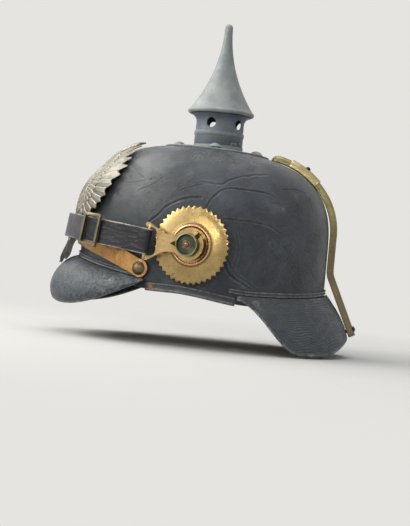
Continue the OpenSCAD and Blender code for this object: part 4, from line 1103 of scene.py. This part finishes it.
def plume(c, r, barb, pitch):
    """A feather's own relief: c runs across it from -1 to 1, r along it in millimetres."""
    body = 0.62 - 0.34 * c - 0.3 * np.clip(abs(c) - 0.78, 0, 1) / 0.22
    lines = 0.5 * np.cos(2 * math.pi * (r + barb * abs(c)) / pitch)
    return body + 0.3 * hump(c, 0.1) + 0.16 * lines * (abs(c) > 0.14)


def raised(h, shape, level):
    """Lifts h to level where the shape is."""
    return np.where(shape > 0, np.maximum(h, level), h)


def eagle_relief(xz):
    """Height of the relief at points of the front view."""
    x, z = xz[:, 0], xz[:, 1]
    ax = abs(x)
    half_xz = np.stack([ax, z], -1)
    gx, gz = ax - FAN[0], z - FAN[1]
    r, th = np.hypot(gx, gz), np.arctan2(gz, gx)
    bounds = fan_bounds()
    inside = np.interp(-th, -bounds, np.arange(len(bounds)))
    h = 0.75 * plume(across(inside), r, 2.6, 1.5)
    # two tiers of coverts lie over the roots of the long feathers
    i2 = inside * 1.25 + 0.3
    c2, c3 = across(i2), across(i2 * 1.35 + 0.5)
    reach = 25.5 - 3.0 * c2**2 + 1.5 * np.sin(inside * 0.9)
    h = np.where(r < reach, 0.62 + 0.62 * plume(c2, r, 2.0, 1.3), h)
    h = np.where(r < 16.5 - 2.4 * c3**2, 1.12 + 0.52 * plume(c3, r, 1.6, 1.2), h)
    # small scales over the shoulder
    h = np.where(r < 9.5, 1.55 + 0.6 * scales(gx + 0.3 * gz, gz - 0.3 * gx, 2.7, 2.3), h)
    # the wing's leading edge is a rolled rib
    arm, along = line_dist(half_xz, [(6, 84), (9, 92), (14, 101), (18, 108), (21.8, 113.5)])
    roll = dome(arm, 3.6 - 1.4 * along)
    h = raised(h, roll, 0.7 + 1.5 * np.sqrt(roll) + 0.3 * scales(arm * 2.0, along * 44, 3.4, 2.9))
    # tail
    tail_r, tail_a = np.hypot(ax, 52 - z), np.arctan2(ax, 52 - z)
    tc = across(tail_a / 0.115 + 0.5)
    in_tail = (z < 44) & (tail_a < 0.66) & (ax < 21)
    h = np.where(in_tail, 0.25 + 0.7 * plume(tc, tail_r, 1.8, 1.3), h)
    h = np.where(in_tail & (tail_r < 19 - 2.2 * tc**2), 0.85 + 0.6 * plume(tc, tail_r, 1.6, 1.2), h)
    # legs and claws
    leg, la = line_dist(half_xz, [(7, 56), (12, 49), (17.5, 43), (23, 38)])
    thigh = dome(leg, 5.6 - 3.9 * sm(la * 1.25))
    hair = 0.25 * scales(leg * 1.5, la * 30, 2.6, 2.2) * (la < 0.6)
    h = raised(h, thigh, 0.5 + 1.6 * np.sqrt(thigh) + hair)
    for tip in ((30.2, 38.6), (30.6, 34.9), (26.0, 33.6), (20.4, 35.9)):
        toe, ta = line_dist(half_xz, [(23.4, 37.6), tip])
        claw = dome(toe, 1.9 - 1.1 * ta)
        h = raised(h, claw, 0.6 + 1.3 * np.sqrt(claw))
    # breast and neck
    half = np.interp(z, [43, 48, 56, 67, 78, 86, 92, 97], [2, 7, 9.8, 11, 9.4, 6.4, 4.6, 4.6])
    br = dome(x - np.interp(z, [43, 86, 97], [0, 0, -0.6]), half) * (z > 43.5)
    breast = 0.9 + 2.1 * np.sqrt(br) + 0.5 * scales(x, z, 3.1, 2.9)
    h = np.where(br > 0, np.maximum(h * (br < 0.06), breast), h)
    # head, looking to the wearer's right
    hr = np.clip(1 - ((x + 1.2) / 5.6) ** 2 - ((z - 103) / 7.2) ** 2, 0, 1)
    head = 0.8 + 2.2 * np.sqrt(hr) + 0.35 * scales(x, z, 2.2, 2.0)
    h = np.where((z > 93) & (ax < 12) & (r > 10) & (arm > 5), np.maximum(0.7, head), h)
    beak, ba = line_dist(xz, [(-5.5, 103.4), (-8.6, 102.4), (-10.6, 99.4)])
    bk = dome(beak, 2.3 - 1.5 * ba)
    h = np.where(bk > 0, np.maximum(h * 0.6, 0.9 + 1.7 * np.sqrt(bk)), h)
    eye = np.hypot(x + 4.0, z - 105.0)
    return h + (0.4 * hump(eye, 0.7) - 0.55 * hump(eye - 1.25, 0.4)) * (z > 100)


def smooth_outline():
    half = [(x * SPAN, z) for x, z in HALF_OUTLINE]
    other = [(-x, z) for x, z in half[-2::-1]]
    loop = np.array(half + other + [(x * SPAN, z) for x, z in HEAD_OUTLINE])
    nxt = np.roll(loop, -1, 0)
    cut = np.stack([loop + 0.14 * (nxt - loop), loop + 0.86 * (nxt - loop)], 1).reshape(-1, 2)
    out = []
    for p, q in zip(cut, np.roll(cut, -1, 0)):
        steps = max(1, int(np.hypot(*(q - p)) / 0.75))
        for k in range(steps):
            out.append(p + (q - p) * k / steps)
    return np.array(out)


def in_outline(p, loop):
    inside = np.zeros(len(p), bool)
    for (ax, az), (bx, bz) in zip(loop, np.roll(loop, -1, 0)):
        level = (az > p[:, 1]) != (bz > p[:, 1])
        if level.any():
            inside ^= level & (p[:, 0] < ax + (p[:, 1] - az) / (bz - az) * (bx - ax))
    return inside


def build_eagle():
    loop = smooth_outline()
    closed = np.vstack([loop, loop[:1]])
    step = 0.56
    gx, gz = np.meshgrid(np.arange(-57, 57, step), np.arange(14, 117, step * 0.88))
    gx = gx + 0.5 * step * (np.arange(gx.shape[0]) % 2)[:, None]
    cloud = np.stack([gx.ravel(), gz.ravel()], -1)
    cloud = cloud[in_outline(cloud, loop)]
    cloud = cloud[line_dist(cloud, closed)[0] > 0.3]
    count = len(loop)
    pts = [Vector(p) for p in np.vstack([loop, cloud])]
    edges = [(k, (k + 1) % count) for k in range(count)]
    flat, _, faces = geometry.delaunay_2d_cdt(pts, edges, [], 1, 1e-6)[:3]
    xz = np.array([tuple(p) for p in flat])
    faces = np.array([tuple(f) for f in faces if len(f) == 3])
    edge_d = line_dist(xz, closed)[0]
    low = sm((60 - xz[:, 1]) / 12) * sm((34 - abs(xz[:, 0])) / 8)
    h = eagle_relief(xz) * (1 - 0.5 * low) * (0.35 + 0.65 * sm(edge_d / 1.1))
    # battered a little, as thin sheet gets
    h = h + 0.5 * (fbm(np.insert(xz, 1, 0, axis=1), 15, 840, 3) - 0.5) * sm(edge_d / 3)
    # the body is pressed out of a sheet that is sunk behind it
    back, n = emblem_at(xz, -0.4 - 1.3 * sm((24 - abs(xz[:, 0])) / 14))
    front = back + n * (0.45 + h)[:, None]
    total = len(xz)
    # walls follow the border edges of the flat mesh
    half_edges = dict.fromkeys((f[i], f[(i + 1) % 3]) for f in faces for i in range(3))
    walls = []
    for a, b in half_edges:
        if (b, a) not in half_edges:
            walls += [(b, a, a + total), (b, a + total, b + total)]
    # grooves hold dirt: how far a point lies below its surroundings
    around, weight = np.zeros(total), np.zeros(total)
    for i, j in permutations(range(3), 2):
        np.add.at(around, faces[:, i], h[faces[:, j]])
        np.add.at(weight, faces[:, i], 1)
    deep = np.clip((around / np.maximum(1, weight) - h) / 0.16, -1, 1)
    values = {
        "deep": np.concatenate([0.5 + 0.5 * deep, np.full(total, 0.5)]),
        "rise": np.concatenate([np.clip(h / 3.2, 0, 1), np.zeros(total)]),
    }
    v, faces = np.vstack([front, back]), np.vstack([faces, faces[:, ::-1] + total, walls])
    piece("eagle_plate", v, faces, M["eagle"], "helmet", ["front_plate"], values, sharp=58)


def silvered_sheet():
    s = metal("worn_silver", (110, 106, 97), (136, 132, 122), (0.44, 0.6), (94, 88, 77), 4, 0.03, 0.85)
    deep = s.attr("deep")
    tinted(s, s.band(deep, 0.62, 0.95), (46, 42, 36))
    tinted(s, s.band(s.attr("rise"), 0.22, 0.02, 0, 0.35), (84, 79, 68))
    return tinted(s, s.band(deep, 0.42, 0.1, 0, 0.45), (160, 156, 145))


M["eagle"] = silvered_sheet()
build_eagle()


# Liner

BAND_IN, BAND_TAPER, SHEET_T = LEATHER + 2 * SEAT + PIPING_T, 0.8, 1.15


def thick_sheet(top, n):
    """Sections of a leather sheet whose outer face is top[i, j], rounded at j's two ends."""
    h = SHEET_T / 2
    tangent = np.gradient(top, axis=1)
    tangent /= np.maximum(1e-9, np.linalg.norm(tangent, axis=-1, keepdims=True))
    back = top - SHEET_T * n

    def cap(k, sign):
        turns = [math.radians(deg) for deg in (45, 90, 135)]
        ways = [(math.cos(r) - 1) * n[:, k] + sign * math.sin(r) * tangent[:, k] for r in turns]
        return np.stack([top[:, k] + h * way for way in ways], 1)

    return np.concatenate([top, cap(-1, 1), back[:, ::-1], cap(0, -1)[:, ::-1]], 1)


def build_sweatband():
    ang = np.linspace(0, 2 * math.pi, 300, endpoint=False)
    t = np.linspace(0, 1, 20)[None, :]
    x, y = plan(ang[:, None], -(BAND_IN + BAND_TAPER * np.clip((t - 0.5) * 2, 0, 1)))
    low = rim_z(ang)[:, None] + 0.5
    g = np.stack([x, y, low + t * (32.5 - low)], -1)
    n = grid_normals(g, True)
    g = g + (0.5 * (fbm(g, 16, 600, 2) - 0.5) - 0.15)[..., None] * n
    v, faces = tube(thick_sheet(g, n), ring=True)
    piece("sweatband_leather", v, faces, M["sweatband"], "helmet", ["sweatband"])
    # a row of stitches along its lower edge
    bm = bmesh.new()
    for a in np.linspace(0, 2 * math.pi, 180, endpoint=False):
        px, py = plan(a, -(BAND_IN + 1.32))
        nx, ny = plan_normal(a)
        place = Matrix.Translation(Vector((px, py, rim_z(a) + 3.2)) / 1000)
        turn = Vector((-ny, nx, 0)).to_track_quat("X", "Z").to_matrix().to_4x4()
        stitch = place @ turn @ Matrix.Diagonal((1.15, 0.32, 0.38, 1))
        bmesh.ops.create_icosphere(bm, subdivisions=1, radius=0.001, matrix=stitch)
    me = bpy.data.meshes.new("sweatband_stitches")
    bm.to_mesh(me)
    bm.free()
    ob = linked("sweatband_stitches", me, M["thread"], {})
    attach(ob, "helmet")


def build_tongues():
    count, tip, lap, top_h = 10, 0.42, 6.0, 33.0
    verts, faces, base = [], [], 0
    side = np.radians(np.linspace(-0.5, 0.5, 17) * 36 * 0.88)[:, None]
    s = np.linspace(0, 1, 34)[None, :]
    for k in range(count):
        b = math.radians(k * 36 + 9) + side * (1 - 0.35 * s)
        x, y = plan(b, -(BAND_IN + BAND_TAPER + 1.2 + SEAT))
        shrink = 1 - (1 - tip) * s**1.6
        z = top_h - lap + (CROWN_H - top_h - 18) * (1 - (1 - s) ** 1.7) + 0 * b
        g = np.stack([x * shrink, MID_Y + (y - MID_Y) * shrink, z], -1)
        # the tip is drawn in to a rounded scallop
        squeeze = np.where(s > 0.86, np.sqrt(dome(s - 0.86, 0.15)), 1.0)
        g = g[8] + (g - g[8]) * (0.25 + 0.75 * squeeze)[..., None]
        n = grid_normals(g)
        curl = 0.9 * ((side / side[-1]) ** 2 - 0.4) * s
        g = g + 0.6 * (0.9 * (fbm(g, 18, 700 + k, 2) - 0.5) - 0.1 + curl)[..., None] * n
        v, f = tube(thick_sheet(g, n))
        verts.append(v)
        faces.append(f + base)
        base += len(v)
    v, f = np.vstack(verts), np.vstack(faces)
    piece("liner_tongue_leather", v, f, M["tongue"], "helmet", ["liner_tongues"])


def thread():
    s = Shade("linen_thread")
    s.set(Base_Color=s.mix(s.noise(1.0, 2), (168, 150, 118), (196, 180, 148)), Roughness=0.85)
    return s


M["thread"] = thread()
build_sweatband()
build_tongues()

# Chinstrap

SIN, COS = math.sin(POST_YAW), math.cos(POST_YAW)
EYE_OUT, FITTING_LEN = 9.8, 32.5
BAR_X = plan_x(POST_A) + COS * EYE_OUT - SIN * FITTING_LEN
BAR_Y = plan_y(POST_A) - SIN * EYE_OUT - COS * FITTING_LEN
BAR_Z = POST_Z - 0.4
SLOPE = math.radians(7)
STRAP_FRONT = (FRONT_Y - 10.6 - BAR_Y) / math.cos(SLOPE)
STRAP_R = (BAR_X**2 + STRAP_FRONT**2) / (-2 * STRAP_FRONT)
STRAP_MID = STRAP_FRONT + STRAP_R
STRAP_W, STRAP_T, LAYER = 19.0, 1.8, 0.15
FRONT_END = 47.7


def strap_world(p):
    """From the strap's own frame to the helmet's."""
    c, s = math.cos(SLOPE), math.sin(SLOPE)
    y, z = p[..., 1], p[..., 2]
    return np.stack([p[..., 0], BAR_Y + y * c + z * s, BAR_Z - y * s + z * c], -1)


def strap_section():
    """(outwards, upwards, which face: 1 the outer, -1 the inner, 0 a rounded edge)."""
    t, w, r = STRAP_T / 2, STRAP_W / 2, 0.7
    turns = [math.radians(deg) for deg in (60, 30, 0, -30, -60)]
    pts = [(t, z, 1) for z in np.linspace(w - r, r - w, 31)]
    pts += [(t * math.sin(a), r - w - r * math.cos(a), 0) for a in turns]
    pts += [(-t, z, -1) for z in np.linspace(r - w, w - r, 15)]
    pts += [(t * math.sin(a), w - r + r * math.cos(a), 0) for a in turns[::-1]]
    return np.array(pts).T


def strap_sweep(name, line, node, seed, mirror, material, wrinkle):
    """A leather strip whose middle runs along line (x, y) in the strap's frame, upright and STRAP_W wide."""
    tan = np.gradient(line, axis=0)
    tan /= np.linalg.norm(tan, axis=1, keepdims=True)
    # away from the wearer on a run that goes from the side to the front
    nor = np.stack([tan[:, 1], -tan[:, 0]], -1)[:, None]
    out, up, face = (k[None, :, None] for k in strap_section())
    s_len = run_length(line)
    q = np.concatenate(np.broadcast_arrays(s_len[:, None, None], up, 2 * out), -1)
    # long flowing wrinkles along the strap, with a few across it
    bent = q + 3 * wobble(q, 9, seed)
    rel = 0.6 * ridged(bent, (12, 1.7, 9), seed + 3, 2) + 0.4 * ridged(bent, (5, 1.1, 9), seed + 5, 2)
    rel = (rel - rel.min()) / (rel.max() - rel.min())
    d = np.minimum(wrinkle * (rel - 0.7) + 0.25 * (fbm(q, 14, seed + 7, 2) - 0.5), 0.1)
    # the edges run a little unevenly
    edge = 0.45 * (fbm(s_len[:, None] * [1, 0, 0] + [0, 3, 0], 11, seed + 9, 2) - 0.5)[:, None, None]
    high = up + edge * (abs(up) / (STRAP_W / 2)) ** 3
    wear = np.clip((abs(up[..., 0]) - (STRAP_W / 2 - 0.8)) / 0.5, 0, 1)
    wear = wear * (0.35 + 0.65 * sm((fbm(q, 9, seed + 11, 2) - 0.38) * 5))
    flat = (out + d[..., None] * face) * nor
    for j, share in ((0, 0.45), (1, 0.9), (-2, 0.9), (-1, 0.45)):
        flat[j] *= share
    v, faces = tube(strap_world(np.concatenate([line[:, None] + flat, high], -1)))
    if mirror:
        v = v * [-1, 1, 1]
    values = {"relief": rel.reshape(-1), "wear": wear.reshape(-1)}
    piece(name, v, faces, material, "strap", node, values)


def arc(deg0, deg1, r, count):
    a = np.radians(np.linspace(deg0, deg1, count))
    return np.stack([r * np.cos(a), STRAP_MID - r * np.sin(a)], -1)


def smoothed(line):
    for _ in range(30):
        line[1:-1] = 0.5 * line[1:-1] + 0.25 * (line[2:] + line[:-2])
    return line


def build_straps():
    mid_out, mid_in = STRAP_R + LAYER + STRAP_T / 2, STRAP_R - LAYER - STRAP_T / 2
    front = arc(FRONT_END + 0.25, 180 - FRONT_END - 0.25, mid_out, 170)
    strap_sweep("front_strap_leather", front, ["chinstrap"], 900, False, M["front_strap"], 0.28)
    # each loop runs back from the buckle, round the bar and forwards again behind itself
    bar_a = 7.0 - math.degrees(math.asin(-STRAP_MID / STRAP_R))
    out_run = arc(FRONT_END - 0.25, bar_a, mid_out, 60)
    in_run = arc(bar_a, FRONT_END + 7.8, mid_in, 60)
    x, y = out_run[-1] - out_run[-2]
    a = math.atan2(y, x) - math.pi / 2 + 0.25 + (math.pi - 0.5) * np.linspace(0, 1, 25)
    turn = [BAR_X, 0.0] + (1.25 + SEAT + STRAP_T / 2) * np.stack([np.cos(a), np.sin(a)], -1)
    if np.linalg.norm(turn[0] - out_run[-1]) > np.linalg.norm(turn[-1] - out_run[-1]):
        turn = turn[::-1]
    line = respace(smoothed(respace(np.vstack([out_run, turn, in_run]), 260)), 230)
    for side, word in SIDES.items():
        cad = [word + "_strap_loop"]
        strap_sweep(word + "_loop_leather", line, cad, 930 + 20 * (side > 0), side < 0, M["strap"], 0.3)


build_straps()

# Light, floor and backdrop

BACKDROP = (0.79, 0.775, 0.745, 1)


def sky():
    """Dim light that grows upwards; seen directly it is the backdrop."""
    world = bpy.data.worlds.new("studio")
    bpy.context.scene.world = world
    world.use_nodes = True
    s = Tree(world.node_tree)
    s.t.nodes.clear()
    co = s.node("ShaderNodeTexCoord").outputs["Generated"]
    up = s.node("ShaderNodeSeparateXYZ", (co,)).outputs["Z"]
    values = {"Value": up, "From Min": -0.25, "From Max": 0.9, "To Min": 0.14, "To Max": 0.42}
    power = s.node("ShaderNodeMapRange", values).outputs["Result"]
    lit = s.node("ShaderNodeBackground", ((0.97, 0.985, 1.0, 1), power)).outputs[0]
    seen = s.node("ShaderNodeBackground", (BACKDROP, 1.0)).outputs[0]
    mix = s.node("ShaderNodeMixShader", (s.seen_directly(), lit, seen)).outputs[0]
    s.node("ShaderNodeOutputWorld", {"Surface": mix})


def lamp(name, at, look, size, power, colour):
    data = bpy.data.lights.new(name, "AREA")
    data.shape = "RECTANGLE"
    data.size, data.size_y = size
    data.energy = power
    data.color = colour
    ob = bpy.data.objects.new(name, data)
    ob.location = at
    ob.rotation_euler = (Vector(look) - Vector(at)).to_track_quat("-Z", "Y").to_euler()
    bpy.context.scene.collection.objects.link(ob)


def floor():
    """Grey paper that turns into the backdrop away from the helmet."""
    s = Shade("floor_paper")
    base = s.mix(s.noise(60, 2), (186, 185, 182), (189, 188, 185))
    s.set(Roughness=0.9, Specular_IOR_Level=0.1, Base_Color=base)
    far = s.band(s.vector("LENGTH", s.co)["Value"], 0.14, 0.6)
    glow = s.node("ShaderNodeEmission", (BACKDROP, 1.0)).outputs[0]
    shaders = (s.mul(far, s.seen_directly()), s.b.outputs[0], glow)
    blend = s.node("ShaderNodeMixShader", shaders).outputs[0]
    s.put(s.t.nodes["Material Output"].inputs["Surface"], blend)
    bpy.ops.mesh.primitive_grid_add(x_subdivisions=2, y_subdivisions=2, size=40, location=(0, 0, -0.0385))
    sheet = bpy.context.object
    sheet.name = "floor"
    sheet.data.materials.append(s.m)


sky()
lamp("ceiling", (-0.15, -0.1, 1.4), (0, 0, 0.05), (1.2, 1.0), 11, (0.97, 0.985, 1))
lamp("window", (0.9, -1.3, 0.5), (0, 0, 0.08), (0.7, 0.7), 4, (1, 0.99, 0.97))
lamp("far_front", (-0.55, -1.05, 0.95), (0, 0, 0.08), (0.9, 0.7), 8, (1, 1, 0.98))
lamp("brow", (0.3, -1.0, 0.8), (0, 0, 0.08), (0.8, 0.7), 14, (1, 0.98, 0.93))
lamp("rosette", (1.11, -0.4, 0.27), (0.08, 0, 0.04), (0.16, 0.16), 1.1, (1, 0.98, 0.8))
lamp("near_side", (1.4, 0.0, 0.85), (0, 0, 0.05), (0.4, 0.4), 4, (0.95, 0.98, 1))
lamp("back_left", (0.7, 1.3, 0.9), (0, 0, 0.08), (0.6, 0.6), 2.5, (1, 1, 1))
floor()
bpy.context.scene.view_settings.view_transform = "Standard"

bpy.context.view_layer.update()
